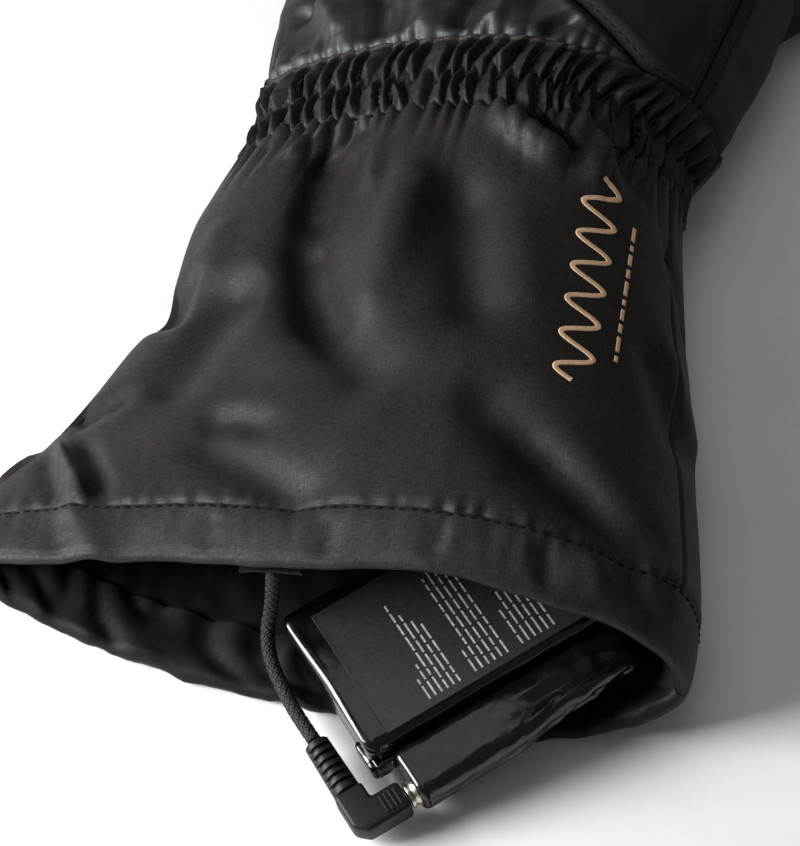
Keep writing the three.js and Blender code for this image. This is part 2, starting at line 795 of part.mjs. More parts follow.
const battery = new THREE.Group();
battery.position.copy(batteryCorner);
const [heading, pitch, roll] = [batteryHeading, batteryPitch, batteryRoll].map(THREE.MathUtils.degToRad);
battery.rotation.set(roll, -pitch, heading, "ZYX");
battery.add(piece("battery_pack", makeBattery(), "wrap"));
battery.add(piece("battery_label", makeLabel(), "label"));
battery.add(piece("socket_block", makeSocket(), "wrap"));
battery.add(piece("plug_barrel", makeBarrel(), "nickel"));
battery.add(piece("dc_plug", makePlug(), "rubber"));
battery.add(piece("strain_relief", makeRelief(), "rubber"));
glove.add(battery);

glove.add(piece("cord", makeCord(), "braid"));

// Height of the hem's inner face under the back, at one x near the hem's edge
function hemRoof(x, place) {
  const section = sectionAt(place);
  const reach = x < section.peak ? section.left + section.peak : section.right - section.peak;
  const round = x < section.peak ? section.leftRound : section.rightRound;
  const arch = (1 - Math.abs((x - section.peak) / reach) ** round) ** (1 / round);
  const face = sideHeight + (section.top - sideHeight) * arch - foldDrop(x, place) * Math.sqrt(arch);
  return face - hemWall;
}

// The tab lies along the slope of the cuff's upper wall where the cord leaves it
const tab = piece("cord_tab", makeTab(), "satin");
const tabX = tabAcross * cuffLeft;
const tabY = hemEdge + tabInside;
tab.position.set(tabX, tabY, hemRoof(tabX, tabY) - 2 * fitGap - tabThick / 2);
tab.rotation.y = -THREE.MathUtils.degToRad(tabSlope);
glove.add(tab);

export default glove;
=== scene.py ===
# A heated glove, left hand, lying palm down: sewn cloth over padding, with a flared gauntlet cuff
# whose mouth holds a battery pack on a short plug-in cord. The cloth is made as fine grids over
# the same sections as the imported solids, and folds, puckers and seams are raised on the grids.
import math

import bpy
import numpy as np
from mathutils import Euler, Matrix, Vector


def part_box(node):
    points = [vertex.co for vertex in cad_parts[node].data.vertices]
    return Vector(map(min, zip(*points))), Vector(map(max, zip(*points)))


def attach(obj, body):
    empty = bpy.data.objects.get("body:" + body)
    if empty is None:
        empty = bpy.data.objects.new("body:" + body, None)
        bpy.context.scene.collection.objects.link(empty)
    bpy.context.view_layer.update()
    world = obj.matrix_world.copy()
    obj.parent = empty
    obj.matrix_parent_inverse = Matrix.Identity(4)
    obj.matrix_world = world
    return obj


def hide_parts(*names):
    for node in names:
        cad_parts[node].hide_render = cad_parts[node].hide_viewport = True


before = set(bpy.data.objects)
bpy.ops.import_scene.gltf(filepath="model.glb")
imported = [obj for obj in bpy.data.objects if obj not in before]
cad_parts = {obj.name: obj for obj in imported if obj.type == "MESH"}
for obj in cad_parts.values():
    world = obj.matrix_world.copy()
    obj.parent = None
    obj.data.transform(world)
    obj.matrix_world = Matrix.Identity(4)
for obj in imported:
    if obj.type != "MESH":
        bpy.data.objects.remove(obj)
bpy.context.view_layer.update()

# Shapes are worked out in millimetres, and meshes are made in metres
MM = 0.001


# The photograph's camera: what it looks at, from what direction and distance, and its lens
VIEW_TARGET = (0.0, -147.0, 28.0)
VIEW_AZIMUTH = 12.0
VIEW_ELEVATION = 52.0
VIEW_DISTANCE = 577.0
VIEW_LENS = 117.0


def make_camera():
    data = bpy.data.cameras.new("photo_view")
    data.lens = VIEW_LENS
    data.clip_start = 0.01
    camera = bpy.data.objects.new("photo_view", data)
    bpy.context.scene.collection.objects.link(camera)
    turn, rise = math.radians(VIEW_AZIMUTH), math.radians(VIEW_ELEVATION)
    back = Vector((
        math.sin(turn) * math.cos(rise),
        -math.cos(turn) * math.cos(rise),
        math.sin(rise),
    ))
    camera.location = (Vector(VIEW_TARGET) + back * VIEW_DISTANCE) * MM
    camera.rotation_euler = (-back).to_track_quat("-Z", "Y").to_euler()
    bpy.context.scene.camera = camera


make_camera()


# Sizes of the glove, in millimetres, the same as its solids have. The places of the band, the wrist and the
# roots of the fingers along the glove are read from the imported solids.
FIT_GAP = 0.3
WRIST_LEFT = 54.5
WRIST_RIGHT = 48.8
WRIST_HEIGHT = 45.0
CUFF_LENGTH = 125.0
CUFF_LEFT = 91.0
CUFF_RIGHT = 69.0
CUFF_HEIGHT = 44.0
CUFF_WALL = 1.6
HEM_DEPTH = 12.0
HEM_WALL = 3.2
RIM_BULGE = 11.0
SIDE_HEIGHT = 15.0
FLOOR_SINK = 2.0
CORNER_DEPTH = 2.2
PALM_LEFT = 57.0
PALM_RIGHT = 66.0
PALM_HEIGHT = 47.0

BAND_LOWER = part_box("wrist_gathers")[0].y / MM
WRIST_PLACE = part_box("palm_panel")[0].y / MM
FINGER_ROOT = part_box("palm_panel")[1].y / MM
HEM_EDGE = BAND_LOWER - CUFF_LENGTH
HEM_START = HEM_EDGE + HEM_DEPTH


def table(columns, rows):
    """Rows of numbers under named columns, as one array for each column."""
    return dict(zip(columns.split(), np.array(rows, float).T))


# Sections of the cuff from the wrist, 0, to the hem, 1, and of the hand from the cuff, 0, to the
# roots of the fingers, 1. left and right go from the wrist's reach to the far end's, peak is the
# ridge's place as a share of the right reach, top is a share of the height, and the rounds are
# the exponents of the two shoulders.
CUFF_SECTIONS = table("along left right peak top left_round right_round", [
    (0.00, 0.000, 0.00, 0.12, 1.00, 1.40, 2.0),
    (0.10, 0.090, 0.11, 0.13, 1.01, 1.40, 2.0),
    (0.20, 0.145, 0.22, 0.14, 1.02, 1.40, 2.0),
    (0.33, 0.137, 0.37, 0.15, 1.03, 1.40, 2.0),
    (0.42, 0.120, 0.49, 0.16, 1.04, 1.35, 2.0),
    (0.47, 0.230, 0.55, 0.17, 1.04, 1.30, 2.0),
    (0.60, 0.380, 0.70, 0.19, 1.05, 1.28, 2.0),
    (0.71, 0.520, 0.84, 0.20, 1.06, 1.26, 2.1),
    (0.82, 0.740, 0.96, 0.21, 1.07, 1.22, 2.4),
    (0.91, 0.880, 1.00, 0.22, 1.06, 1.18, 2.8),
    (1.00, 1.000, 1.00, 0.22, 1.00, 1.10, 2.1),
])
HAND_SECTIONS = table("along left right peak top left_round right_round", [
    (0.00, 0.0, 0.00, 0.12, 0.0, 1.4, 2.0),
    (0.10, -0.5, 0.02, 0.12, -0.2, 1.4, 2.0),
    (0.21, 0.1, 0.33, 0.13, 0.0, 1.4, 2.0),
    (0.38, 0.8, 0.62, 0.14, 1.0, 1.5, 2.0),
    (0.57, 1.0, 0.88, 0.12, 0.8, 1.6, 2.1),
    (0.71, 0.9, 0.97, 0.10, -0.2, 1.8, 2.3),
    (0.86, 0.5, 0.75, 0.07, -2.8, 2.2, 2.6),
    (1.00, -0.1, 0.28, 0.04, -5.2, 2.8, 2.8),
])

# How firmly the deeper of two broad folds wins where they meet: the power of a soft maximum
FOLD_BLEND = 6

# The broad folds of the cuff's back that its solid has too, in shares of its named sizes
BROAD_FOLDS = table("from_across from_along to_across to_along width depth", [
    (-0.38, 0.10, -0.41, 0.31, 0.17, 0.15),
    (-0.41, 0.31, -0.30, 0.48, 0.17, 0.13),
    (-0.30, 0.48, -0.10, 0.62, 0.15, 0.07),
    (0.04, 0.24, 0.16, 0.45, 0.20, 0.09),
    (-0.62, 0.42, -0.72, 0.62, 0.14, 0.12),
    (-0.52, 0.78, -0.22, 0.88, 0.12, 0.08),
    (0.28, 0.67, 0.47, 0.77, 0.17, 0.08),
    (0.47, 0.77, 0.76, 0.87, 0.17, 0.10),
    (0.10, 0.02, 0.27, 0.09, 0.09, -0.06),
    (0.26, 0.00, 0.44, 0.10, 0.09, -0.06),
    (-0.12, 0.20, -0.18, 0.45, 0.12, -0.06),
    (-0.93, 0.87, -0.80, 0.99, 0.09, -0.05),
])


def mix(start, end, share):
    return start + (end - start) * share


def ease(value):
    """A smooth step from 0 to 1."""
    held = np.clip(value, 0, 1)
    return held * held * (3 - 2 * held)


def read_column(rows, along, column):
    """Values of one column at places along a table, on a smooth curve through its rows."""
    at, values = rows["along"], rows[column]
    last = len(at) - 1
    first = np.clip(np.searchsorted(at, along, side="right") - 1, 0, last - 1)
    before, after = np.maximum(first - 1, 0), np.minimum(first + 2, last)
    span = at[first + 1] - at[first]
    share = np.clip((along - at[first]) / span, 0, 1)
    slope_a = (values[first + 1] - values[before]) / (at[first + 1] - at[before]) * span
    slope_b = (values[after] - values[first]) / (at[after] - at[first]) * span
    square, cube = share**2, share**3
    return (
        (2 * cube - 3 * square + 1) * values[first]
        + (cube - 2 * square + share) * slope_a
        + (3 * square - 2 * cube) * values[first + 1]
        + (cube - square) * slope_b
    )


def sections(place):
    """Reaches, ridge, height and shoulders of the glove's section at places along it."""
    in_cuff = place < BAND_LOWER
    along_cuff = np.clip((BAND_LOWER - place) / CUFF_LENGTH, 0, 1)
    along_hand = np.clip((place - BAND_LOWER) / (FINGER_ROOT - BAND_LOWER), 0, 1)

    def read(column):
        cuff = read_column(CUFF_SECTIONS, along_cuff, column)
        return np.where(in_cuff, cuff, read_column(HAND_SECTIONS, along_hand, column))

    left = WRIST_LEFT + (np.where(in_cuff, CUFF_LEFT, PALM_LEFT) - WRIST_LEFT) * read("left")
    right = WRIST_RIGHT + (np.where(in_cuff, CUFF_RIGHT, PALM_RIGHT) - WRIST_RIGHT) * read("right")
    cuff_top = mix(WRIST_HEIGHT, CUFF_HEIGHT, along_cuff) * read("top")
    hand_top = mix(WRIST_HEIGHT, PALM_HEIGHT, read("top"))
    return {
        "left": left,
        "right": right,
        "peak": right * read("peak"),
        "top": np.where(in_cuff, cuff_top, hand_top),
        "left_round": read("left_round"),
        "right_round": read("right_round"),
        "cuff": np.where(in_cuff, along_cuff, 0.0),
    }


def off_segment(x, y, start, end):
    """How far points of the plan are from a straight stretch, how far along it, and on which side."""
    run_x, run_y = end[0] - start[0], end[1] - start[1]
    share = ((x - start[0]) * run_x + (y - start[1]) * run_y) / (run_x**2 + run_y**2)
    share = np.clip(share, 0, 1)
    off_x, off_y = x - start[0] - share * run_x, y - start[1] - share * run_y
    return np.hypot(off_x, off_y), share, run_x * off_y - run_y * off_x


def broad_drop(x, place):
    """How far the broad folds press the back of the cuff down. Where troughs meet, the deeper one
    counts, with a soft change between them, and ridges do the same."""
    trough, ridge = np.zeros_like(x), np.zeros_like(x)
    for row in range(len(BROAD_FOLDS["width"])):
        fold = {name: values[row] for name, values in BROAD_FOLDS.items()}
        start, end = (
            (fold[step + "across"] * CUFF_RIGHT, BAND_LOWER - fold[step + "along"] * CUFF_LENGTH)
            for step in ("from_", "to_")
        )
        away, _, _ = off_segment(x, place, start, end)
        width = fold["width"] * CUFF_HEIGHT
        drop = fold["depth"] * CUFF_HEIGHT * np.exp(-((away / width) ** 2))
        trough += np.maximum(drop, 0) ** FOLD_BLEND
        ridge += np.maximum(-drop, 0) ** FOLD_BLEND
    return trough ** (1 / FOLD_BLEND) - ridge ** (1 / FOLD_BLEND)


def glove_face(place, turn, inset=0.0):
    """Points of the glove's face in mm, inset by a depth. place runs along the glove and turn
    goes round it: 0 is the left fold, 1 the right fold over the back, and 2 the left fold again
    under the palm."""
    place, turn, inset = np.broadcast_arrays(
        np.asarray(place, float), np.asarray(turn, float), np.asarray(inset, float)
    )
    turn = turn % 2
    over = turn <= 1
    u = np.where(over, np.sin(np.pi * (turn - 0.5)), np.sin(np.pi * (1.5 - turn)))
    cut = sections(place)
    on_left = u < 0
    reach = np.where(on_left, cut["left"] + cut["peak"], cut["right"] - cut["peak"])
    corner = inset * np.where(on_left, mix(1, CORNER_DEPTH, cut["cuff"]), 1)
    face_x = cut["peak"] + u * reach
    x = face_x - np.sign(u) * corner * u**4
    power = np.where(over, np.where(on_left, cut["left_round"], cut["right_round"]), 2.0)
    arch = np.maximum(1 - np.abs(u) ** power, 0) ** (1 / power)
    depth = inset * arch**0.3
    top = SIDE_HEIGHT + (cut["top"] - SIDE_HEIGHT) * arch - depth
    top -= np.where(place < BAND_LOWER, broad_drop(face_x, place), 0) * np.sqrt(arch)
    bend, soften = np.where(on_left, 3.0, 1.2), np.where(on_left, 1.6, 0.6)
    bulge = RIM_BULGE * cut["cuff"] ** 3 * np.maximum(1 - np.abs(u) ** bend, 0) ** soften
    under = np.maximum(SIDE_HEIGHT - (SIDE_HEIGHT + FLOOR_SINK) * arch + depth, np.maximum(inset, 0))
    y = np.where(over, place, place - bulge)
    return np.stack([x, y, np.where(over, top, under)], axis=-1)


def turn_at(x, place):
    """The turn over the back at which the glove's face has that x."""
    cut = sections(np.asarray(place, float))
    reach = np.where(x < cut["peak"], cut["left"] + cut["peak"], cut["right"] - cut["peak"])
    return 0.5 + np.arcsin(np.clip((x - cut["peak"]) / reach, -1, 1)) / np.pi


# Smooth noise, the same on each run
def noise(x, y, seed=0):
    """Gradient noise from about -1 to 1, with features about one unit across. Each seed gives
    one pattern."""
    chance = np.random.default_rng(seed)
    order = chance.permutation(256)
    lean = chance.random(256) * 2 * np.pi
    x, y = np.broadcast_arrays(np.asarray(x, float), np.asarray(y, float))
    cell_x, cell_y = np.floor(x).astype(int), np.floor(y).astype(int)
    part_x, part_y = x - cell_x, y - cell_y
    smooth_x = part_x**3 * (part_x * (part_x * 6 - 15) + 10)
    smooth_y = part_y**3 * (part_y * (part_y * 6 - 15) + 10)

    def corner(i, j):
        angle = lean[order[(order[(cell_x + i) % 256] + cell_y + j) % 256]]
        return np.cos(angle) * (part_x - i) + np.sin(angle) * (part_y - j)

    low = mix(corner(0, 0), corner(1, 0), smooth_x)
    high = mix(corner(0, 1), corner(1, 1), smooth_x)
    return mix(low, high, smooth_y) * 1.5


def folds(x, y, rows):
    """Height of folds drawn on a plan. Each row is a bend through three points, with the width and
    height of the fold, below 0 for a trough, and a lean that sharpens its left side (above 0)."""
    height = np.zeros(np.broadcast(x, y).shape)
    steps = np.linspace(0, 1, 13)[:, None]
    for x0, y0, x1, y1, x2, y2, width, rise, lean in rows:
        ends = np.array([[x0, y0], [x1, y1], [x2, y2]], float)
        middle = 2 * ends[1] - (ends[0] + ends[2]) / 2
        path = (1 - steps) ** 2 * ends[0] + 2 * steps * (1 - steps) * middle + steps**2 * ends[2]
        low, high = path.min(0) - 3 * width, path.max(0) + 3 * width
        near = (x > low[0]) & (x < high[0]) & (y > low[1]) & (y < high[1])
        if not near.any():
            continue
        px, py = x[near], y[near]
        best = np.full(px.shape, np.inf)
        share = np.zeros(px.shape)
        side = np.zeros(px.shape)
        for index in range(len(path) - 1):
            away, along, beside = off_segment(px, py, path[index], path[index + 1])
            closer = away < best
            best = np.where(closer, away, best)
            share = np.where(closer, (index + along) / (len(path) - 1), share)
            side = np.where(closer, beside, side)
        spread = width * (1 - lean * np.tanh(side / width / 2))
        taper = ease(share / 0.3) * ease((1 - share) / 0.3) * 0.85 + 0.15
        height[near] += rise * np.exp(-((best / spread) ** 2)) * taper
    return height


# Meshes from grids of points
def grid_faces(rows, columns, loop_rows=False, loop_columns=False):
    """Four-sided faces of a grid of points, closed round its rows or columns where asked."""
    row = np.arange(rows if loop_rows else rows - 1)[:, None]
    column = np.arange(columns if loop_columns else columns - 1)[None, :]
    next_row, next_column = (row + 1) % rows, (column + 1) % columns
    corners = (
        row * columns + column,
        row * columns + next_column,
        next_row * columns + next_column,
        next_row * columns + column,
    )
    return np.stack([np.broadcast_to(c, (row.size, column.size)) for c in corners], -1).reshape(-1, 4)


def face_normals(points, loop=False, centre=None):
    """Unit normals of a grid of points, pointing away from the glove's own middle or a centre."""
    if loop:
        across = np.roll(points, -1, axis=1) - np.roll(points, 1, axis=1)
    else:
        across = np.gradient(points, axis=1)
    normals = np.cross(np.gradient(points, axis=0), across)
    normals /= np.maximum(np.linalg.norm(normals, axis=-1, keepdims=True), 1e-9)
    if centre is None:
        centre = points * (0, 1, 0) + (0, 0, SIDE_HEIGHT)
    inward = np.einsum("ijk,ijk->", normals, points - centre) < 0
    return -normals if inward else normals


def add_mesh(name, points, faces, material, smooth=True, cloth=None, fans=None):
    """A mesh object from points in mm, four-sided faces and triangles. cloth gives each point's
    place on the flat cloth, in mm."""
    points = np.asarray(points, float).reshape(-1, 3)
    fans = np.zeros((0, 3), int) if fans is None else fans
    triangles = np.concatenate([faces[:, [0, 1, 2]], faces[:, [0, 2, 3]], fans])
    a, b, c = (points[triangles[:, k]] for k in range(3))
    if np.einsum("ij,ij->i", a, np.cross(b, c)).sum() < 0:
        faces, fans = faces[:, ::-1], fans[:, ::-1]
    mesh = bpy.data.meshes.new(name)
    mesh.from_pydata((points * MM).tolist(), [], faces.tolist() + fans.tolist())
    mesh.polygons.foreach_set("use_smooth", np.full(len(mesh.polygons), smooth))
    if cloth is not None:
        layer = mesh.uv_layers.new(name="cloth")
        corner = np.zeros(len(mesh.loops), int)
        mesh.loops.foreach_get("vertex_index", corner)
        flat = np.asarray(cloth, float).reshape(-1, 2)[corner] * MM
        layer.data.foreach_set("uv", flat.ravel())
    mesh.materials.append(material)
    mesh.update()
    made = bpy.data.objects.new(name, mesh)
    bpy.context.scene.collection.objects.link(made)
    return made


def cloth_places(points):
    """Each point's place on the flat cloth, from the lengths along and across its grid."""
    across = np.linalg.norm(np.diff(points, axis=1), axis=-1).mean(0)
    along = np.linalg.norm(np.diff(points, axis=0), axis=-1).mean(1)
    u, v = np.append(0, np.cumsum(across)), np.append(0, np.cumsum(along))
    return np.stack(np.broadcast_arrays(u[None, :], v[:, None]), axis=-1)


def tube_wall(name, outer, wall, material, back_rows=14):
    """A closed wall round a tube: its fine face, and a plainer face one wall behind it."""
    keep = np.unique(np.linspace(0, len(outer) - 1, back_rows).astype(int))[::-1]
    inner = (outer - face_normals(outer, loop=True) * wall)[keep]
    points = np.concatenate([outer, inner])
    places = cloth_places(outer)
    places = np.concatenate([places, places[keep]])
    faces = grid_faces(len(points), points.shape[1], loop_rows=True, loop_columns=True)
    return add_mesh(name, points, faces, material, cloth=places)


def panel_wall(name, outer, wall, material):
    """A closed wall behind an open grid of points."""
    inner = outer - face_normals(outer) * wall
    ring = np.concatenate([outer, inner[:, ::-1]], axis=1)
    places = cloth_places(outer)
    places = np.concatenate([places, places[:, ::-1]], axis=1)
    rows, columns = outer.shape[:2]
    faces = grid_faces(rows, 2 * columns, loop_columns=True)
    caps = []
    for start, last in ((0, False), ((rows - 1) * 2 * columns, True)):
        front = start + np.arange(columns)
        back = start + 2 * columns - 1 - np.arange(columns)
        cap = np.stack([front[:-1], back[:-1], back[1:], front[1:]], -1)
        caps.append(cap if last else cap[:, ::-1])
    faces = np.concatenate([faces, *caps])
    return add_mesh(name, ring, faces, material, cloth=places)


def ringed_body(name, rings, ends, material, place=np.asarray):
    """A closed body from rings of points, with a fan from each end ring to a point of its own.
    place moves all the points at the end."""
    count, around = rings.shape[:2]
    here, ahead = np.arange(around), (np.arange(around) + 1) % around
    last, first_end = (count - 1) * around, count * around
    fans = np.concatenate([
        np.stack([np.full(around, first_end), ahead, here], -1),
        np.stack([np.full(around, first_end + 1), last + here, last + ahead], -1),
    ])
    points = place(np.concatenate([rings.reshape(-1, 3), ends]))
    return add_mesh(name, points, grid_faces(count, around, loop_columns=True), material, fans=fans)


# Materials
def linear(hex_colour):
    """A linear colour from an sRGB hex value."""
    parts = [int(hex_colour[i:i + 2], 16) / 255 for i in (1, 3, 5)]
    return tuple(p / 12.92 if p <= 0.04045 else ((p + 0.055) / 1.055) ** 2.4 for p in parts) + (1.0,)


def node(tree, kind, sockets=None, **settings):
    """Adds a node, sets its properties, and sets or links its sockets."""
    made = tree.nodes.new(kind)
    for name, value in settings.items():
        setattr(made, name, value)
    for name, value in (sockets or {}).items():
        if isinstance(value, bpy.types.NodeSocket):
            tree.links.new(value, made.inputs[name])
        else:
            made.inputs[name].default_value = value
    return made


def start_material(name, **sockets):
    """A material, its node tree and its shader, whose plain values are set on the shader."""
    material = bpy.data.materials.new(name)
    material.use_nodes = True
    tree = material.node_tree
    shader = tree.nodes["Principled BSDF"]
    for socket, value in sockets.items():
        shader.inputs[socket.replace("_", " ")].default_value = value
    return material, tree, shader


def grain(tree, size, detail=2.0):
    """Soft specks from 0 to 1 on a piece's own coordinates, about that many mm across."""
    place = node(tree, "ShaderNodeTexCoord")
    scale = (1 / (size * MM),) * 3
    placed = node(tree, "ShaderNodeMapping", {"Vector": place.outputs["Object"], "Scale": scale})
    specks = node(tree, "ShaderNodeTexNoise", {
        "Vector": placed.outputs["Vector"], "Scale": 1.0, "Detail": detail,
    })
    return specks.outputs["Fac"]


def threads(tree, across, along, detail=1.5, roughness=0.6):
    """Streaks from 0 to 1 on a piece's flat cloth, that many mm across and along it."""
    cloth = node(tree, "ShaderNodeUVMap", uv_map="cloth")
    scale = (1 / (across * MM), 1 / (along * MM), 1.0)
    placed = node(tree, "ShaderNodeMapping", {"Vector": cloth.outputs["UV"], "Scale": scale})
    streaks = node(tree, "ShaderNodeTexNoise", {
        "Vector": placed.outputs["Vector"], "Scale": 1.0, "Detail": detail, "Roughness": roughness,
    }, noise_dimensions="2D")
    return streaks.outputs["Fac"]


def show(tree, shader, colours=None, gloss=None, relief=None):
    """Lets patterns show. colours is a pattern and the two hex values that it goes between, and
    gloss a pattern and its two roughnesses, each with the two shares at which they are reached.
    relief is a pattern and its depth in mm."""
    if colours:
        share, low, high, *ends = colours
        ramp = node(tree, "ShaderNodeValToRGB", {"Fac": share})
        for stop, place, colour in zip(ramp.color_ramp.elements, ends or (0.35, 0.65), (low, high)):
            stop.position, stop.color = place, linear(colour)
        tree.links.new(ramp.outputs["Color"], shader.inputs["Base Color"])
    if gloss:
        share, first, last, start, end = gloss
        rough = node(tree, "ShaderNodeMapRange", {
            "Value": share, "From Min": start, "From Max": end, "To Min": first, "To Max": last,
        })
        tree.links.new(rough.outputs["Result"], shader.inputs["Roughness"])
    if relief:
        height, depth = relief
        bump = node(tree, "ShaderNodeBump", {"Height": height, "Strength": 1.0, "Distance": depth * MM})
        tree.links.new(bump.outputs["Normal"], shader.inputs["Normal"])


def grained(name, size, low, high, depth, detail=2.0, ends=(0.35, 0.65), **sockets):
    """A material in two close colours, mixed and raised by one grain of that size in mm."""
    material, tree, shader = start_material(name, **sockets)
    specks = grain(tree, size, detail)
    show(tree, shader, (specks, low, high, *ends), relief=(specks, depth))
    return material


def woven(name, across, along, depth, low, high, roughness, **sockets):
    """A woven material, whose threads run both ways as streaks of that size in mm. Cloudy patches,
    a few cm across, keep it from looking printed."""
    material, tree, shader = start_material(name, **sockets)
    warp, weft = threads(tree, across, along), threads(tree, along, across)
    weave = node(tree, "ShaderNodeMix", {"Factor": 0.5, "A": warp, "B": weft}).outputs["Result"]
    patches = threads(tree, 38.0, 24.0, 2.0, 0.5)
    shade = node(tree, "ShaderNodeMix", {"Factor": 0.2, "A": weave, "B": patches}).outputs["Result"]
    show(
        tree, shader, (shade, low, high, 0.38, 0.62),
        (weave, roughness + 0.06, roughness - 0.06, 0.35, 0.65), (weave, depth),
    )
    return material


def satin_polyester(name, low="#120f0e", high="#2b2625", roughness=0.58):
    """Black polyester woven in a satin face, coated inside, with a soft brownish shine. Its threads
    are about 0.1 mm apart, and drawn as streaks 0.27 mm wide so that the weave shows."""
    return woven(
        name, 2.0, 0.27, 0.05, low, high, roughness, Specular_IOR_Level=0.24, Sheen_Weight=0.03,
        Sheen_Roughness=0.45, Sheen_Tint=linear("#8a7a72"),
    )


def sheen_polyester():
    """Thin grey polyester with a bright calendered face, which gives a cool metal-like shine on
    every rumple. Its fine threads are drawn 0.6 mm wide so that they show."""
    return woven(
        "sheen_polyester", 0.6, 5.0, 0.06, "#0a0b0e", "#181a20", 0.54, Sheen_Weight=0.05,
        Sheen_Roughness=0.4, Sheen_Tint=linear("#aab0c4"),
    )


def lining_taffeta():
    """Plain black taffeta inside the cuff: thin, dark, with a weak shine on its creases. Its threads
    too are drawn coarser than they are."""
    return woven("lining_taffeta", 2.0, 0.6, 0.04, "#0a0a0a", "#161516", 0.55, Specular_IOR_Level=0.3)


def softshell():
    """Brushed softshell knit, matt black, with a fine dry grain that takes almost no shine."""
    return grained(
        "softshell", 0.45, "#131212", "#1f1d1d", 0.08, Roughness=0.85, Specular_IOR_Level=0.25,
        Sheen_Weight=0.02, Sheen_Roughness=0.6,
    )


def palm_microfibre():
    """Suede-like microfibre on the palm: a grey-violet nap with soft cloudy strokes."""
    material, tree, shader = start_material(
        "palm_microfibre", Roughness=0.8, Specular_IOR_Level=0.3, Sheen_Weight=0.1, Sheen_Roughness=0.5,
        Sheen_Tint=linear("#8d8794"),
    )
    nap, strokes = grain(tree, 0.3, 3.0), grain(tree, 14.0, 4.0)
    shade = node(tree, "ShaderNodeMix", {"Factor": 0.5, "A": nap, "B": strokes}).outputs["Result"]
    show(tree, shader, (shade, "#151316", "#29262b"), relief=(nap, 0.06))
    return material


def shrink_wrap(name="shrink_wrap", roughness=0.12):
    """Black PVC shrink tube: smooth and glossy, with faint ripples where it drew tight."""
    material, tree, shader = start_material(
        name, Base_Color=linear("#08090c"), Roughness=roughness, IOR=1.54
    )
    ripples, smears = grain(tree, 9.0, 2.5), grain(tree, 3.0, 4.0)
    show(tree, shader, gloss=(smears, roughness, roughness + 0.16, 0.35, 0.7), relief=(ripples, 0.35))
    return material


def label_film():
    """Satin polyester label film, dark grey, with a faint orange-peel grain."""
    return grained("label_film", 0.9, "#1d1d1e", "#252526", 0.02, Roughness=0.42)


def nickel_plate():
    """Nickel-plated brass, turned: bright and warm, with fine lathe marks and dull smudges."""
    material, tree, shader = start_material(
        "nickel_plate", Base_Color=linear("#c9c2b0"), Metallic=1.0, Roughness=0.24
    )
    marks = grain(tree, 0.8, 3.0)
    show(tree, shader, gloss=(marks, 0.14, 0.42, 0.0, 1.0), relief=(marks, 0.02))
    return material


def moulded_pvc():
    """Injection-moulded soft PVC: black, with a fine spark-eroded grain and a dull gloss."""
    return grained(
        "moulded_pvc", 0.25, "#080809", "#0e0e0f", 0.03, Roughness=0.5, Specular_IOR_Level=0.3,
    )


def braided_sleeve():
    """Polyester braid over the cord: black strands, with painted grey highlights on their crowns."""
    material, tree, shader = start_material("braided_sleeve", Roughness=0.65, Specular_IOR_Level=0.3)
    crown = node(tree, "ShaderNodeAttribute", attribute_name="crown").outputs["Fac"]
    fibres = grain(tree, 0.35)
    shade = node(tree, "ShaderNodeMix", {"Factor": 0.5, "A": crown, "B": fibres}).outputs["Result"]
    # Grey where a strand's crown stands highest is a painted highlight, mixed with a fine fibre grain
    show(tree, shader, (shade, "#040404", "#454240", 0.6, 0.95), relief=(fibres, 0.05))
    return material


def sewing_thread():
    """Twisted polyester sewing thread, black and dull, with a trace of its twist."""
    return grained(
        "sewing_thread", 0.3, "#060505", "#100e0e", 0.05, 1.0, Roughness=0.8,
        Specular_IOR_Level=0.15,
    )


def copper_transfer():
    """Heat-pressed foil print: a thin copper-coloured film, half dull, that follows the cloth."""
    return grained("copper_transfer", 0.7, "#e0b188", "#f3cfa9", 0.01, 3.0, (0.3, 0.7), Roughness=0.5)


def label_ink():
    """Pale grey screen ink on the label, matt and slightly uneven."""
    material, tree, shader = start_material("label_ink", Roughness=0.6)
    show(tree, shader, (grain(tree, 0.5), "#7c7c7d", "#a9a9aa"))
    return material


SATIN = satin_polyester("satin_polyester")
# The same satin in darker colours for the hem's inside: painted shade where the rim turns under, out of the
# light
HEM_SHADE_SATIN = satin_polyester("hem_painted_shade", "#050404", "#120f0e", 0.66)
# The same satin painted near black for the tab: painted shade, as it hangs in shadow under the hem
TAB_SHADE_SATIN = satin_polyester("tab_painted_shade", "#030303", "#070606", 0.8)
SHEEN = sheen_polyester()
SOFTSHELL = softshell()
MICROFIBRE = palm_microfibre()
LINING = lining_taffeta()
WRAP = shrink_wrap()
TAPE = shrink_wrap("tape_wrap", 0.16)
FILM = label_film()
NICKEL = nickel_plate()
PVC = moulded_pvc()
BRAID = braided_sleeve()
THREAD = sewing_thread()
COPPER = copper_transfer()
INK = label_ink()


def dress(piece, slot, *nodes):
    """A finished piece rides on the glove's one body and stands for its nodes. Its slot is not used."""
    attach(piece, "root")
    if nodes:
        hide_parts(*nodes)
    return piece


# Cord, from the tab under the hem to the plug's strain relief, and the tab's slope in degrees
CORD_DIAMETER = 3.0
TAB_SLOPE = 12.0
CORD_POINTS = [
    (-16.6, -191.2, 31.0),
    (-16.8, -191.3, 26.5),
    (-17.1, -191.5, 21.0),
    (-17.6, -191.8, 16.0),
    (-17.9, -193.2, 12.0),
    (-17.0, -196.2, 9.0),
    (-14.9, -199.8, 7.4),
    (-12.0, -203.7, 6.6),
    (-9.2, -207.3, 6.4),
    (-6.3, -210.6, 6.45),
    (-3.45, -213.75, 6.6),
]
BRAID_CARRIERS = 10
BRAID_CELL = 1.05
BRAID_RELIEF = 0.24


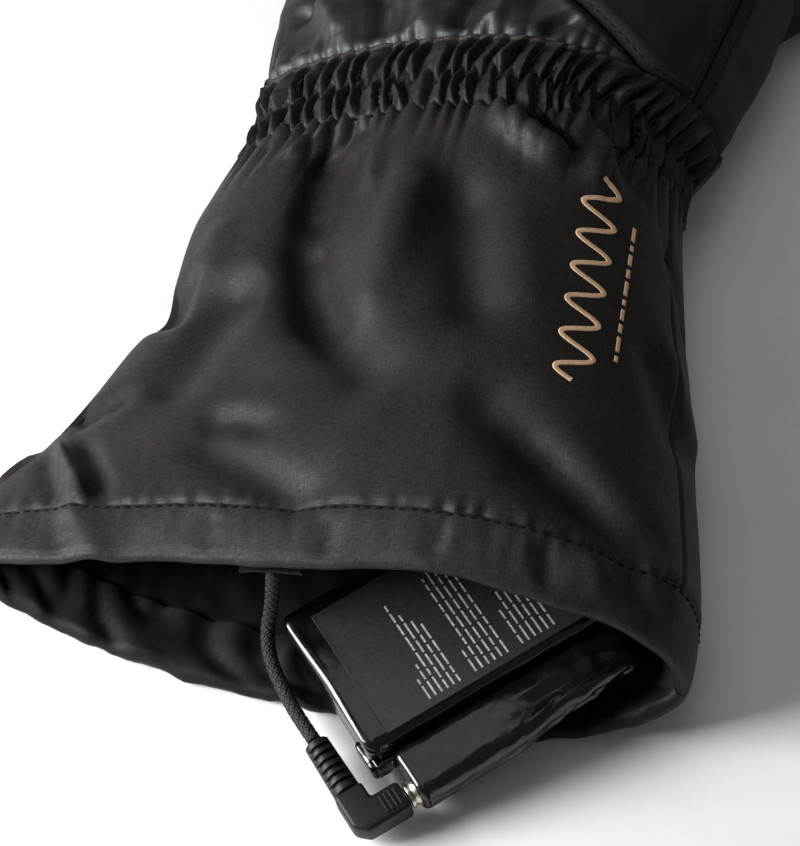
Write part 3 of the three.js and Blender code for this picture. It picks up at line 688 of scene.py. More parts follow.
def smooth_path(points, steps):
    """A smooth line through points, with so many steps between each two."""
    ends = np.array(points, float)
    ends = np.concatenate([[2 * ends[0] - ends[1]], ends, [2 * ends[-1] - ends[-2]]])
    t = np.linspace(0, 1, steps, endpoint=False)[:, None]
    line = []
    for a, b, c, d in zip(ends, ends[1:], ends[2:], ends[3:]):
        line.append(0.5 * (
            2 * b + (c - a) * t + (2 * a - 5 * b + 4 * c - d) * t**2
            + (3 * b - a - 3 * c + d) * t**3
        ))
    return np.concatenate([*line, ends[-2:-1]])


def path_frames(path):
    """Two directions square to a path at each of its points, without twist."""
    ahead = np.gradient(path, axis=0)
    ahead /= np.linalg.norm(ahead, axis=1, keepdims=True)
    side = np.cross(ahead[0], (0, 0, 1.0) if abs(ahead[0][2]) < 0.9 else (1.0, 0, 0))
    sides = []
    for direction in ahead:
        side = side - direction * side.dot(direction)
        side = side / np.linalg.norm(side)
        sides.append(side)
    sides = np.array(sides)
    return sides, np.cross(ahead, sides)


def tube_along(name, path, radius, material):
    """A closed tube along a path. radius is a grid of values, path point by side."""
    side, up = path_frames(path)
    turn = np.linspace(0, 2 * np.pi, radius.shape[1], endpoint=False)[:, None]
    ring = side[:, None] * np.cos(turn) + up[:, None] * np.sin(turn)
    return ringed_body(name, path[:, None] + ring * radius[..., None], path[[0, -1]], material)


def make_cord():
    """The braided cord: two sets of strands that cross over and under each other all round it."""
    path = smooth_path(CORD_POINTS, 46)
    run = np.append(0, np.cumsum(np.linalg.norm(np.diff(path, axis=0), axis=1)))[:, None]
    turn = np.linspace(0, 2 * np.pi, 72, endpoint=False)[None, :]
    lay = np.pi * run / BRAID_CELL
    strands = BRAID_CARRIERS / 2
    one, other = np.sin(strands * turn + lay), np.sin(strands * turn - lay)
    over = np.sin(strands * turn) * np.sin(lay) > 0
    crown = np.where(over, np.abs(one), np.abs(other)) ** 0.7
    radius = CORD_DIAMETER / 2 - BRAID_RELIEF * (1 - crown)
    made = tube_along("cord_braid", path, radius, BRAID)
    # The crowns' heights go on the mesh too, where the sleeve's material paints highlights on them
    layer = made.data.attributes.new("crown", "FLOAT", "POINT")
    layer.data.foreach_set("value", np.append(crown, [0.5, 0.5]).astype(np.float32))
    dress(made, "braided_sleeve", "cord")
    return made, path, float(run[-1, 0])


CORD, CORD_PATH, CORD_LENGTH = make_cord()


# Cuff, hem, lining and gathers. A fold is a row for folds(): three points that it bends through,
# its width, its height and its lean.
CUFF_FOLDS = [
    (-32.0, -70.0, -31.5, -88.0, -30.0, -106.0, 4.6, -2.3, 0.0),
    (-30.0, -99.0, -24.5, -122.0, -9.5, -145.0, 4.6, -2.1, 0.0),
    (-29.5, -67.9, -36.6, -73.7, -42.5, -79.7, 1.3, 1.3, 0.3),
    (-41.2, -63.6, -45.0, -68.3, -48.0, -73.0, 1.2, 1.0, 0.3),
    (-22.0, -69.0, -29.5, -74.0, -36.0, -84.0, 3.2, -1.6, 0.0),
    (-18.4, -74.0, -18.7, -84.1, -17.0, -95.0, 2.4, 1.2, 0.2),
    (-8.2, -72.0, -9.1, -99.5, -5.0, -126.8, 6.0, 1.0, 0.0),
    (0.2, -84.0, 7.6, -111.6, 14.4, -134.0, 4.6, -1.0, 0.0),
    (11.2, -92.0, 18.6, -111.6, 21.1, -133.0, 5.5, 0.7, 0.0),
    (6.0, -69.0, 15.3, -77.3, 27.0, -80.5, 2.6, 1.9, 0.35),
    (8.9, -65.2, 18.1, -73.7, 28.2, -80.4, 1.5, -1.3, 0.0),
    (18.6, -66.3, 26.7, -71.0, 34.5, -80.5, 2.4, 2.2, 0.35),
    (27.4, -64.0, 35.0, -71.3, 43.4, -80.5, 2.6, -1.5, 0.0),
    (-52.8, -107.3, -56.6, -115.7, -56.3, -128.8, 3.2, -1.5, 0.0),
    (-49.0, -93.5, -51.5, -104.0, -50.5, -118.0, 4.2, 0.7, 0.0),
    (-71.5, -152.7, -66.3, -150.3, -55.4, -144.3, 3.6, -1.3, 0.0),
    (-41.9, -160.7, -33.0, -158.0, -22.0, -163.5, 3.8, -1.3, 0.0),
    (-73.4, -156.7, -64.5, -170.5, -58.8, -181.9, 1.7, 1.5, 0.25),
    (-68.5, -157.0, -59.8, -170.8, -54.8, -180.9, 2.4, -1.3, 0.0),
    (-76.0, -160.7, -69.5, -172.8, -65.0, -180.9, 2.4, -1.0, 0.0),
    (20.2, -154.0, 36.3, -163.2, 51.5, -176.0, 4.2, -1.6, 0.0),
    (45.8, -116.0, 53.6, -131.8, 61.6, -147.0, 3.8, -1.2, 0.0),
    (50.0, -112.0, 57.0, -127.0, 63.5, -140.0, 2.4, 0.8, 0.0),
    (-12.0, -172.0, -4.0, -160.0, 2.0, -144.0, 5.5, 0.6, 0.0),
    (-34.0, -120.0, -30.0, -136.0, -24.0, -148.0, 6.0, 0.7, 0.0),
    (46.0, -84.0, 52.0, -96.0, 58.5, -112.0, 1.6, -1.0, 0.0),
]
HEM_FOLDS = [
    (-60.0, -183.0, -63.0, -187.0, -61.0, -192.0, 2.6, -0.9, 0.0),
    (-30.0, -182.0, -31.0, -187.0, -29.0, -192.0, 2.8, -0.6, 0.0),
    (-9.0, -182.0, -6.0, -187.0, -8.0, -192.0, 2.2, -0.7, 0.0),
    (14.0, -182.0, 15.5, -187.0, 13.0, -192.0, 2.4, -0.9, 0.0),
    (34.0, -183.0, 38.0, -187.0, 37.0, -192.0, 2.8, -1.2, 0.0),
    (44.0, -182.0, 48.0, -187.0, 49.0, -192.0, 3.0, 0.9, 0.0),
    (52.0, -182.0, 57.0, -187.0, 60.5, -191.0, 2.4, -1.3, 0.0),
]
FOLD_RISE = 1.5
PUCKERS = 31
HEM_ROWS = 26
LINING_GAP = 0.3
LINING_WALL = 1.0
GATHER_WALL = 2.2


def turns_round(over, under):
    """Turns once round the glove: over its back, then under its palm."""
    back, palm = np.linspace(0, 1, over, endpoint=False), np.linspace(1, 2, under, endpoint=False)
    return np.concatenate([back, palm])[None, :]


def arc_share(turn, place):
    """How far round the back a turn is at one place, as a share of the length of the back there."""
    fine = np.linspace(0, 1, 400)
    line = glove_face(place, fine)
    length = np.append(0, np.cumsum(np.linalg.norm(np.diff(line, axis=0), axis=1)))
    return np.interp(turn, fine, length / length[-1])


def over_back(turn, margin=0.04):
    """1 on the back of the glove, falling to 0 at its two side folds and under the palm."""
    return np.where(turn <= 1, ease(turn / margin) * ease((1 - turn) / margin), 0.0)


def keep_up(points, lowest=0.15):
    """Nothing reaches below the surface that the glove lies on."""
    points[..., 2] = np.maximum(points[..., 2], lowest)
    return points


def pucker_number(turn):
    """Which pucker of the gathers a point is on, with puckers of uneven width."""
    share = arc_share(np.clip(turn, 0, 1), WRIST_PLACE)
    return PUCKERS * share + 0.55 * noise(share * 11, BAND_LOWER / 60, 21)


def make_gauntlet():
    """The cuff's satin: broad folds, short gathers below the band, and a side seam. It is drawn in
    at the hem's stitching."""
    turn = turns_round(330, 110)
    place = np.linspace(HEM_START - 0.6, BAND_LOWER + 1.4, 166)[:, None]
    tuck = 0.5 * ease((place - BAND_LOWER + 0.4) / 1.4) + 0.5 * ease((HEM_START + 0.3 - place) / 0.8)
    face = glove_face(place, turn, tuck)
    x, y = face[..., 0], face[..., 1]
    over = over_back(turn)
    below_band, above_hem = BAND_LOWER - place, place - HEM_START
    number = pucker_number(turn)
    reach = 3.2 + 4.2 * np.clip(0.8 + 1.2 * noise(number / 1.7, 0 * place, 22), 0, 2.2)
    ridge = np.abs(np.sin(np.pi * number)) - 0.55
    gathers = 1.9 * ridge * np.exp(-((np.maximum(below_band, 0) / reach) ** 1.3)) * ease(turn / 0.05)
    pinch = -0.8 * np.exp(-((above_hem / 1.3) ** 2))
    draw = 0.85 * noise(x / 2.8, y / 9, 23) * np.exp(-((above_hem / 3.6) ** 2))
    broad = 0.4 * noise(x / 24 + y / 60, y / 30, 24) + 0.1 * noise(x / 9, y / 12, 25)
    seam_turn = turn_at(sections(place)["right"] * 0.93, place)
    seam = -0.7 * np.exp(-(((turn - seam_turn) / 0.006) ** 2))
    relief = FOLD_RISE * folds(x, y, CUFF_FOLDS) + gathers + draw + broad + pinch
    height = over * relief + seam * (turn <= 1) + (1 - over) * 0.25 * noise(x / 14, y / 16, 26)
    made = keep_up(face + face_normals(face, loop=True) * height[..., None])
    piece = tube_wall("gauntlet_shell", made, CUFF_WALL, SATIN, back_rows=56)
    dress(piece, "satin_polyester", "gauntlet")


def make_hem():
    """The turned hem: out along the cuff, round its rim and back inside, as one closed wall."""
    turn = turns_round(330, 150)
    out = np.linspace(0, 1, HEM_ROWS)
    bend = np.linspace(0, np.pi, 12)[1:]
    back = out[1:]
    half = HEM_WALL / 2
    rim = HEM_EDGE + half
    place = np.concatenate([
        mix(HEM_START + 0.4, rim, out), rim - half * np.sin(bend), mix(rim, HEM_START, back),
    ])[:, None]
    inset = np.concatenate([0 * out, half - half * np.cos(bend), 0 * back + HEM_WALL])[:, None]
    outside = np.concatenate([0 * out + 1, (1 + np.cos(bend)) / 2, 0 * back])[:, None]
    down = np.concatenate([out, 0 * bend + 1, 1 - back])[:, None]
    plain = glove_face(place, turn, inset)
    x, y = plain[..., 0], plain[..., 1]
    over = over_back(turn, 0.03)
    puff = 0.5 * np.clip(np.sin(np.pi * np.clip(down, 0, 1) ** 0.75), 0, 1) ** 0.4 - 0.3
    lumps = 0.3 * noise(x / 10, y / 9, 31) + 0.5 * noise(x / 3.2, y / 12, 32) * (1 - down) ** 0.9
    outer = puff + over * (folds(x, y, HEM_FOLDS) + lumps)
    under = np.where(turn > 1, np.sin(np.pi * np.clip(turn - 1, 0, 1)) ** 0.5, 0)
    lobes = 4.6 * np.abs(noise(x / 12 + y / 30, y / 19, 33)) + 0.7 * np.abs(noise(x / 5, y / 12, 34))
    inner = 0.25 * noise(x / 6, y / 7, 35) + under * lobes
    height = np.where(outside > 0, outer * outside, 0) - inner * (1 - outside)
    wave = over * (0.9 * noise(x / 26, 0 * y, 36) + 0.45 * noise(x / 9, 0 * y, 37))
    wave += under * (0.9 * noise(x / 9, 0 * y, 38) + 0.5 * noise(x / 4.5, 0 * y, 39))
    made = glove_face(place, turn, inset - height)
    made[..., 1] += wave * down
    made = keep_up(made)
    places = cloth_places(made)[..., ::-1]
    faces = grid_faces(*made.shape[:2], loop_rows=True, loop_columns=True)
    piece = add_mesh("gauntlet_hem_fold", made, faces, SATIN, cloth=places)
    # Faces inside the rim take the darker copy of the satin, which paints the shade there
    piece.data.materials.append(HEM_SHADE_SATIN)
    inside = np.repeat(outside[:, 0] < 0.6, made.shape[1])
    piece.data.polygons.foreach_set("material_index", inside.astype(int))
    dress(piece, "satin_polyester", "gauntlet_hem")
    return made


def make_lining():
    """The lining hangs clear under the cuff's back, and lower still below its troughs."""
    turn = turns_round(240, 200)
    place = np.linspace(HEM_START - 2.0, BAND_LOWER, 120)[:, None]
    inset = CUFF_WALL + LINING_GAP + LINING_WALL
    plain = glove_face(place, turn, inset)
    x, y = plain[..., 0], plain[..., 1]
    wrinkles = 0.9 * np.abs(noise(x / 14 + y / 40, y / 18, 41)) + 0.5 * noise(x / 5, y / 8, 42)
    near_hem = ease((place - HEM_START + 2) / 4)
    troughs = np.maximum(-FOLD_RISE * folds(x, y, CUFF_FOLDS), 0)
    clear = (2.6 + 1.7 * troughs) * over_back(turn, 0.1) * near_hem
    made = glove_face(place, turn, inset + clear + np.clip(wrinkles, -0.2, 2.5) * near_hem)
    piece = tube_wall("cuff_lining_cloth", made, -LINING_WALL, LINING)
    dress(piece, "lining_taffeta", "cuff_lining")


def make_gathers():
    """The elastic band: two rows of leaning puckers that meet on a wandering line of stitching."""
    turn = turns_round(760, 90)
    place = np.linspace(BAND_LOWER, WRIST_PLACE, 76)[:, None]
    share = (place - BAND_LOWER) / (WRIST_PLACE - BAND_LOWER)
    plain = glove_face(place, turn)
    over = over_back(turn, 0.02)
    number = pucker_number(turn)
    middle = 0.5 - 0.09 * np.cos(2 * np.pi * (number - 0.1)) + 0.04 * noise(number * 0.8, 0 * share, 55)
    low = share < middle
    along = np.where(low, share / middle, (share - middle) / (1 - middle))
    tilt = 0.5 + 0.35 * noise(number * 0.45, np.where(low, 3.0, 8.0) + 0 * share, 56)
    number = number + np.where(low, 1.1, -1.3) * tilt * (along - 0.5) + np.where(low, 0.0, 0.5)
    number += 0.3 * noise(number * 0.8, share * 2.6, 51)
    phase = number - np.floor(number)
    size = 1 + 0.7 * noise(np.floor(number) * 0.77, np.where(low, 0.0, 5.0) + 0 * share, 52)
    crest = 0.6
    ridge = np.where(phase < crest, phase / crest, (1 - phase) / (1 - crest))
    ridge = mix(ridge, 1 - (1 - ridge) ** 2, 0.4)
    window = np.clip(np.sin(np.pi * along ** 0.9), 0, 1) ** 0.75
    creases = 0.35 * noise(number * 2.4, share * 9, 53)
    height = size * (2.9 * ridge * window - 1.0) + creases * window
    open_end = ease((share - 0.95) / 0.05)
    height = mix(height, 0.6 * ridge - 0.2, open_end)
    height = over * height + (1 - over) * (0.9 + 0.5 * noise(turn * 90, plain[..., 1] / 9, 54))
    made = keep_up(plain + face_normals(plain, loop=True) * height[..., None])
    piece = tube_wall("wrist_gather_band", made, GATHER_WALL, SATIN)
    dress(piece, "satin_polyester", "wrist_gathers")


make_gauntlet()
HEM = make_hem()
make_lining()
make_gathers()


# Hand panels
SEAM_HEIGHT = 16.0
PANEL_WALL = 2.4
PANEL_GAP = 0.35
SEAM_TURN_GAP = 0.004
# The seams' places: along the hand as shares of its length, across it as shares of its reach
BACK_SEAM = {"right_along": -0.092, "right_across": 0.98, "left_along": 0.759, "left_across": -1.053}
SIDE_SEAM = table("along across", [
    (-0.046, 0.860),
    (0.230, 0.854),
    (0.506, 0.851),
    (0.759, 0.850),
    (1.046, 0.951),
])
BACK_FOLDS = [
    (-38.0, -44.0, -40.0, -32.0, -52.0, -22.0, 3.2, 1.4, 0.2),
    (-28.0, -45.0, -29.0, -32.0, -36.0, -18.0, 3.0, -1.6, 0.0),
    (-20.0, -45.0, -18.0, -30.0, -24.0, -14.0, 3.4, 1.5, 0.2),
    (-10.0, -45.0, -7.0, -34.0, -2.0, -24.0, 2.8, -1.8, 0.0),
    (-2.0, -45.0, 1.0, -36.0, 8.0, -28.0, 2.8, 1.4, 0.2),
    (12.0, -45.0, 14.0, -40.0, 20.0, -36.0, 2.2, -1.2, 0.0),
    (-46.0, -10.0, -34.0, -4.0, -22.0, -8.0, 4.0, 1.0, 0.0),
    (-50.0, -32.0, -46.0, -24.0, -38.0, -18.0, 2.6, -1.2, 0.0),
]


def back_seam_place(x):
    """Where the diagonal seam across the back of the hand is, at an x."""
    left_x, right_x = BACK_SEAM["left_across"] * PALM_LEFT, BACK_SEAM["right_across"] * WRIST_RIGHT
    hand = FINGER_ROOT - WRIST_PLACE
    left_y = WRIST_PLACE + BACK_SEAM["left_along"] * hand
    right_y = WRIST_PLACE + BACK_SEAM["right_along"] * hand
    return mix(left_y, right_y, (x - left_x) / (right_x - left_x))


def side_seam_turn(place):
    """The turn at which the seam down the thumb side runs."""
    along = (place - WRIST_PLACE) / (FINGER_ROOT - WRIST_PLACE)
    across = np.interp(along, SIDE_SEAM["along"], SIDE_SEAM["across"])
    return turn_at(across * sections(place)["right"], place)


def left_seam_turn(place):
    """The turn near the left fold at which the face is as high as the seam there."""
    cut = sections(place)
    arch = (SEAM_HEIGHT - SIDE_HEIGHT) / (cut["top"] - SIDE_HEIGHT)
    u = -((1 - arch ** cut["left_round"]) ** (1 / cut["left_round"]))
    return 0.5 + np.arcsin(u) / np.pi


def edge_distances(points):
    """Distance from each point of a grid to its nearest edge, along its rows and columns."""
    across = np.linalg.norm(np.diff(points, axis=1), axis=-1)
    along = np.linalg.norm(np.diff(points, axis=0), axis=-1)
    u = np.concatenate([np.zeros((len(points), 1)), np.cumsum(across, axis=1)], axis=1)
    v = np.concatenate([np.zeros((1, points.shape[1])), np.cumsum(along, axis=0)], axis=0)
    return np.minimum(np.minimum(u, u[:, -1:] - u), np.minimum(v, v[-1:] - v))


def back_grid(start, end, across, along, lower):
    """A grid of the hand's back between two shares of the way from its left to its side seam. Its
    rows run from one of the wrist and the diagonal seam to the next line up."""
    share = np.linspace(start, end, across)[None, :]
    step = np.linspace(0, 1, along)[:, None]
    place = np.full((along, across), WRIST_PLACE)
    for _ in range(12):
        turn = mix(left_seam_turn(place), side_seam_turn(place), share)
        seam = np.clip(back_seam_place(glove_face(place, turn)[..., 0]), WRIST_PLACE, FINGER_ROOT)
        if lower:
            place = mix(WRIST_PLACE, np.maximum(seam - PANEL_GAP, WRIST_PLACE + 0.5), step)
        else:
            place = mix(seam + PANEL_GAP, FINGER_ROOT, step)
    return glove_face(place, turn), turn


def finish_panel(name, face, height, material, slot, node_name, edge_relief=0.0):
    """A padded panel: its edges sink into the seams behind a soft welt. edge_relief goes on right
    up to the seams."""
    edge = edge_distances(face)
    welt = -1.1 * np.exp(-((edge / 1.3) ** 2)) + 0.5 * np.exp(-(((edge - 3.2) / 1.8) ** 2))
    height = height * ease(edge / 5) + welt + edge_relief
    made = keep_up(face + face_normals(face) * height[..., None])
    piece = panel_wall(name, made, PANEL_WALL, material)
    dress(piece, slot, node_name)
    return made


def make_back_panel():
    """The grey panel, rumpled near the wrist and gathered along its lower seam."""
    face, turn = back_grid(0.0, 0.985, 230, 170, lower=True)
    x, y = face[..., 0], face[..., 1]
    number = pucker_number(turn)
    from_wrist = y - WRIST_PLACE
    reach = np.exp(-((np.maximum(from_wrist, 0) / 5.5) ** 1.3)) * ease(turn / 0.05)
    gathers = 0.9 * (np.abs(np.sin(np.pi * (number + 0.5))) - 0.8) * reach
    rumples = 1.1 * noise(x / 10 + y / 30, y / 10, 61) - 0.9 * np.abs(noise(x / 9 - y / 14, y / 13, 62))
    rumples *= 0.4 + 0.6 * np.exp(-((from_wrist / 28) ** 2))
    height = 2.1 * folds(x, y, BACK_FOLDS) + rumples
    return finish_panel(
        "hand_back_panel", face, height, SHEEN, "sheen_polyester", "back_panel", gathers,
    )


def make_knuckle_panel():
    """The plain black panel from the diagonal seam to the fingers."""
    face, _ = back_grid(0.0, 1.0, 230, 205, lower=False)
    x, y = face[..., 0], face[..., 1]
    height = 1.1 * noise(x / 26, y / 22, 63) + 0.35 * noise(x / 8, y / 9, 64)
    return finish_panel(
        "hand_knuckle_panel", face, height, SOFTSHELL, "softshell", "knuckle_panel",
    )


def make_palm_panel():
    """Palm and thumb side in one piece, from the side seam round under to the left seam."""
    place = np.linspace(WRIST_PLACE, FINGER_ROOT, 165)[:, None]
    share = np.linspace(0, 1, 290)[None, :]
    turn = mix(side_seam_turn(place) + SEAM_TURN_GAP, 2 + left_seam_turn(place) - SEAM_TURN_GAP, share)
    face = glove_face(place, turn)
    x, y = face[..., 0], face[..., 1]
    height = 0.6 * noise(x / 18, y / 20, 65) + 0.3 * noise(x / 7, y / 8, 66)
    drawn_in = -1.3 * np.exp(-(((y - WRIST_PLACE) / 5) ** 2))
    return finish_panel(
        "hand_palm_panel", face, height, MICROFIBRE, "palm_microfibre", "palm_panel", drawn_in,
    )


BACK = make_back_panel()
KNUCKLE = make_knuckle_panel()
PALM = make_palm_panel()


# Fingers and thumb
FINGER_WALL = 3.0
FINGER_REACH = 86.0
FINGER_WIDTH = 26.6
FINGER_HEIGHT = 33.0
THUMB_REACH = 78.0
THUMB_WIDTH = 32.0
THUMB_HEIGHT = 29.0
THUMB_HEADING = 40.0
THUMB_INSET = 17.0
THUMB_ALONG = 58.0
TIP_LIFT = 0.19
TIP_WALL = 1.6 * FINGER_WALL
FINGER_BENDS = (0.36, 0.66)
SUEDE_SHARE = 0.36
# Each finger's width, height and reach as shares of those sizes, and its heading in degrees
FINGERS = [
    ("little_finger", 0.93, 0.84, 0.74, -8.0),
    ("ring_finger", 1.00, 0.97, 0.93, -3.5),
    ("middle_finger", 1.04, 1.00, 1.00, 0.5),
    ("index_finger", 1.04, 0.93, 0.91, 5.0),
]
FINGER_SECTIONS = table("along width height round", [
    (0.00, 1.000, 1.00, 4.5),
    (0.12, 0.985, 0.99, 3.6),
    (0.35, 0.960, 0.93, 2.8),
    (0.60, 0.930, 0.86, 2.5),
    (0.80, 0.870, 0.78, 2.3),
    (0.92, 0.700, 0.64, 2.1),
    (0.98, 0.420, 0.40, 2.0),
])


def finger_rings(width, height, reach, inset, rows, around, roundest):
    """Rings of a finger that lies along y on its flat underside, from its root to near its tip."""
    last = FINGER_SECTIONS["along"][-1]
    along = np.linspace(0, last, rows)
    round_off = np.sqrt(1 - np.linspace(0, 0.98, 8)[1:] ** 2)
    far = np.concatenate([along, mix(last, 1.0, np.linspace(0, 0.98, 8)[1:])])
    near = np.minimum(far, last)
    shrink = np.concatenate([np.ones(rows), round_off])
    width_at, height_at, round_at = (
        read_column(FINGER_SECTIONS, near, column)[:, None] for column in ("width", "height", "round")
    )
    round_at = np.minimum(round_at, roundest)
    turn = np.linspace(0, 2 * np.pi, around, endpoint=False)[None, :]
    half_width, half_height = width_at * width / 2, height_at * height / 2
    side, rise = np.cos(turn), np.sin(turn)
    x = (half_width - inset) * np.sign(side) * np.abs(side) ** (2 / round_at)
    z = half_height + (half_height + FLOOR_SINK - inset) * np.sign(rise) * np.abs(rise) ** (2 / round_at)
    z = np.clip(z, inset, 2 * half_height - inset)
    tip_z = TIP_LIFT * height
    x, z = x * shrink[:, None], tip_z + (z - tip_z) * shrink[:, None]
    y = np.broadcast_to((far * (reach - inset))[:, None], x.shape)
    return np.stack([x, y, z], -1)


def make_finger(name, left, width, height, reach, heading, seed, thumb=False):
    """A finger, padded, hollow and closed at its tip, with a seam along each side."""
    around = 112
    roundest = 3.0 if thumb else 9.0
    rings = finger_rings(width, height, reach, 0.0, 96, around, roundest)
    back = finger_rings(width, height, reach, FINGER_WALL, 20, around, roundest)
    x, y, z = rings[..., 0], rings[..., 1], rings[..., 2]
    share = y / reach
    seam_z = mix(0.42, 0.30, share) * height * read_column(
        FINGER_SECTIONS, np.minimum(share, 0.98), "height"
    )
    seam = -1.3 * np.exp(-(((z - seam_z) / 1.1) ** 2)) * (np.abs(x) > width * 0.1)
    plump = 0.9 * np.exp(-(((np.abs(z - seam_z) - 4.5) / 3.0) ** 2)) * ease(share / 0.05)
    bent = (y + 1.2 * noise(x / 9, 0 * y, seed)) / reach
    creases = sum(-1.1 * np.exp(-((bent - b) * reach / 2.2) ** 2) for b in FINGER_BENDS)
    creases += sum(0.7 * np.exp(-((bent - b - 0.055) * reach / 2.8) ** 2) for b in FINGER_BENDS)
    lumps = 0.6 * noise(x / 9, y / 12, seed + 1) + 0.3 * noise(x / 5, y / 6, seed + 2)
    top = ease((z / height - 0.3) / 0.3)
    end = ease((1 - share) / 0.06)
    height_out = (seam + plump + creases * top + lumps * (0.3 + 0.7 * top)) * end * ease(share / 0.02)
    centre = rings * (0, 1, 0) + (0, 0, height * 0.4)
    rings = keep_up(rings + face_normals(rings, True, centre) * height_out[..., None])
    turn = math.radians(heading)

    def placed(points):
        if thumb:
            root = (PALM_RIGHT - THUMB_INSET, WRIST_PLACE + THUMB_ALONG)
            px, py = points[..., 0], points[..., 1]
            return np.stack([
                root[0] + px * math.cos(turn) + py * math.sin(turn),
                root[1] - px * math.sin(turn) + py * math.cos(turn),
                points[..., 2],
            ], -1)
        shift = left + width / 2 + points[..., 1] * math.tan(turn)
        return np.stack([points[..., 0] + shift, points[..., 1] + FINGER_ROOT + FIT_GAP, points[..., 2]], -1)

    tips = placed(np.array([[0, reach - TIP_WALL, 0.25 * height], [0, reach, TIP_LIFT * height]]))
    outer, inner = placed(rings), placed(back[:-6])
    walls = np.concatenate([inner[::-1], outer])
    piece = ringed_body(name + "_shell", walls, tips, SOFTSHELL)
    piece.data.materials.append(MICROFIBRE)
    faces = piece.data.polygons
    middle = np.zeros(len(faces) * 3)
    faces.foreach_get("center", middle)
    suede_top = np.inf if thumb else SUEDE_SHARE * height
    low = middle.reshape(-1, 3)[:, 2] / MM < suede_top
    faces.foreach_set("material_index", low.astype(int))
    dress(piece, "palm_microfibre" if thumb else "softshell", name)


def make_fingers():
    """Four fingers side by side across the end of the hand, and the thumb out of its side."""
    span = sum(width * FINGER_WIDTH + FIT_GAP for _, width, _, _, _ in FINGERS) - FIT_GAP
    left = -span / 2
    for number, (name, width, height, reach, heading) in enumerate(FINGERS):
        make_finger(
            name, left, width * FINGER_WIDTH, height * FINGER_HEIGHT, reach * FINGER_REACH, heading,
            71 + 3 * number,
        )
        left += width * FINGER_WIDTH + FIT_GAP
    make_finger("thumb", 0, THUMB_WIDTH, THUMB_HEIGHT, THUMB_REACH, THUMB_HEADING, 91, thumb=True)


make_fingers()


# Battery pack and plug, in the battery's own frame: x along it, y to its left, z up out of its label
BATTERY_LENGTH = 66.0
BATTERY_WIDTH = 37.2
BATTERY_THICK = 11.0
BATTERY_ROUND = 2.6
BATTERY_CORNER = Vector((-15.05, -189.6, 4.5))
BATTERY_TURN = Euler((math.radians(2.4), math.radians(-9.5), math.radians(42.0)), "XYZ")
LABEL_START = 5.3
LABEL_LEFT = 4.5
LABEL_RIGHT = 1.4
LABEL_THICK = 0.35
INK_THICK = 0.02
# Plain ruled bars stand in for printed lines: each one's place along the label, and its length
LABEL_RULES = [
    (4.2, 5.0), (5.6, 8.0), (7.0, 23.0), (8.4, 19.5), (9.8, 17.0), (11.2, 15.5),
    (15.0, 5.5), (16.5, 24.0), (18.0, 25.5), (19.5, 26.0), (21.0, 22.0), (22.5, 25.0),
    (26.0, 9.0), (27.5, 13.0), (29.0, 17.5), (30.5, 15.0), (32.0, 19.0), (33.5, 12.0),
]
RULE_START = 6.5
RULE_MARGIN = 1.8
RULE_WIDTH = 0.42
RULE_GAP = 0.55
SOCKET_START = 4.3
SOCKET_LENGTH = 52.0
SOCKET_WIDTH = 12.8
SOCKET_HEIGHT = 8.8
SOCKET_SIDE = -BATTERY_WIDTH - FIT_GAP - SOCKET_WIDTH
BARREL_DIAMETER = 5.5
BARREL_LENGTH = 10.0
PLUG_AXIS = SOCKET_SIDE + 3.8
PLUG_LIFT = SOCKET_HEIGHT / 2
PLUG_FACE = SOCKET_START - 2.2
PLUG_ARM = 12.4
PLUG_WIDTH = 6.4
PLUG_HEIGHT = 5.8
PLUG_ELBOW = 10.3
RELIEF_LENGTH = 13.1
RELIEF_DIAMETER = 5.8
RELIEF_SLOTS = 6
GRIP_BARS = 4
GRIP_PITCH = 1.05
GRIP_SETBACK = 1.3
GRIP_WIDTH = 4.2
GRIP_LENGTH = 0.45
GRIP_THICK = 0.5
GRIP_SUNK = 0.16


def in_battery(points):
    """Points of the battery's frame, in the glove's frame."""
    turn = np.array(BATTERY_TURN.to_matrix())
    return np.asarray(points, float) @ turn.T + np.array(BATTERY_CORNER)


def rounded_outline(width, height, corner, arc=9, edge=5):
    """A closed outline with round corners, from 0 to its width and height."""
    points = []
    corners = ((width, 0, -90), (width, height, 0), (0, height, 90), (0, 0, 180))
    for index, (x, y, start) in enumerate(corners):
        cx, cy = min(max(x, corner), width - corner), min(max(y, corner), height - corner)
        angles = np.radians(start + np.linspace(0, 90, arc))
        points += [(cx + corner * math.cos(a), cy + corner * math.sin(a)) for a in angles]
        nx, ny, next_start = corners[(index + 1) % 4]
        nx, ny = min(max(nx, corner), width - corner), min(max(ny, corner), height - corner)
        first = math.radians(next_start)
        ahead = (nx + corner * math.cos(first), ny + corner * math.sin(first))
        for share in np.linspace(0, 1, edge + 2)[1:-1]:
            points.append((mix(points[-1][0], ahead[0], share), mix(points[-1][1], ahead[1], share)))
    return np.array(points)


def block(name, outline, stations, material, end_round, shape=np.asarray):
    """A closed body along x: an outline across it, with round ends. shape moves its points."""
    centre = outline.mean(0)
    bend = np.radians(np.linspace(0, 90, 7))
    start = stations[0] + end_round * (1 - np.sin(bend))
    end = stations[-1] - end_round * (1 - np.sin(bend))
    inset = end_round * (1 - np.cos(bend))
    places = np.concatenate([start[::-1], np.linspace(start[0], end[0], len(stations)), end])
    insets = np.concatenate([inset[::-1], 0 * np.array(stations), inset])
    away = outline - centre
    length = np.linalg.norm(away, axis=1, keepdims=True)
    rings = []
    for place, cut in zip(places, insets):
        ring = centre + away * (1 - cut / length)
        rings.append(np.column_stack([np.full(len(ring), place), ring]))
    rings = shape(np.array(rings))
    return ringed_body(name, rings, rings[[0, -1]].mean(1), material, in_battery)


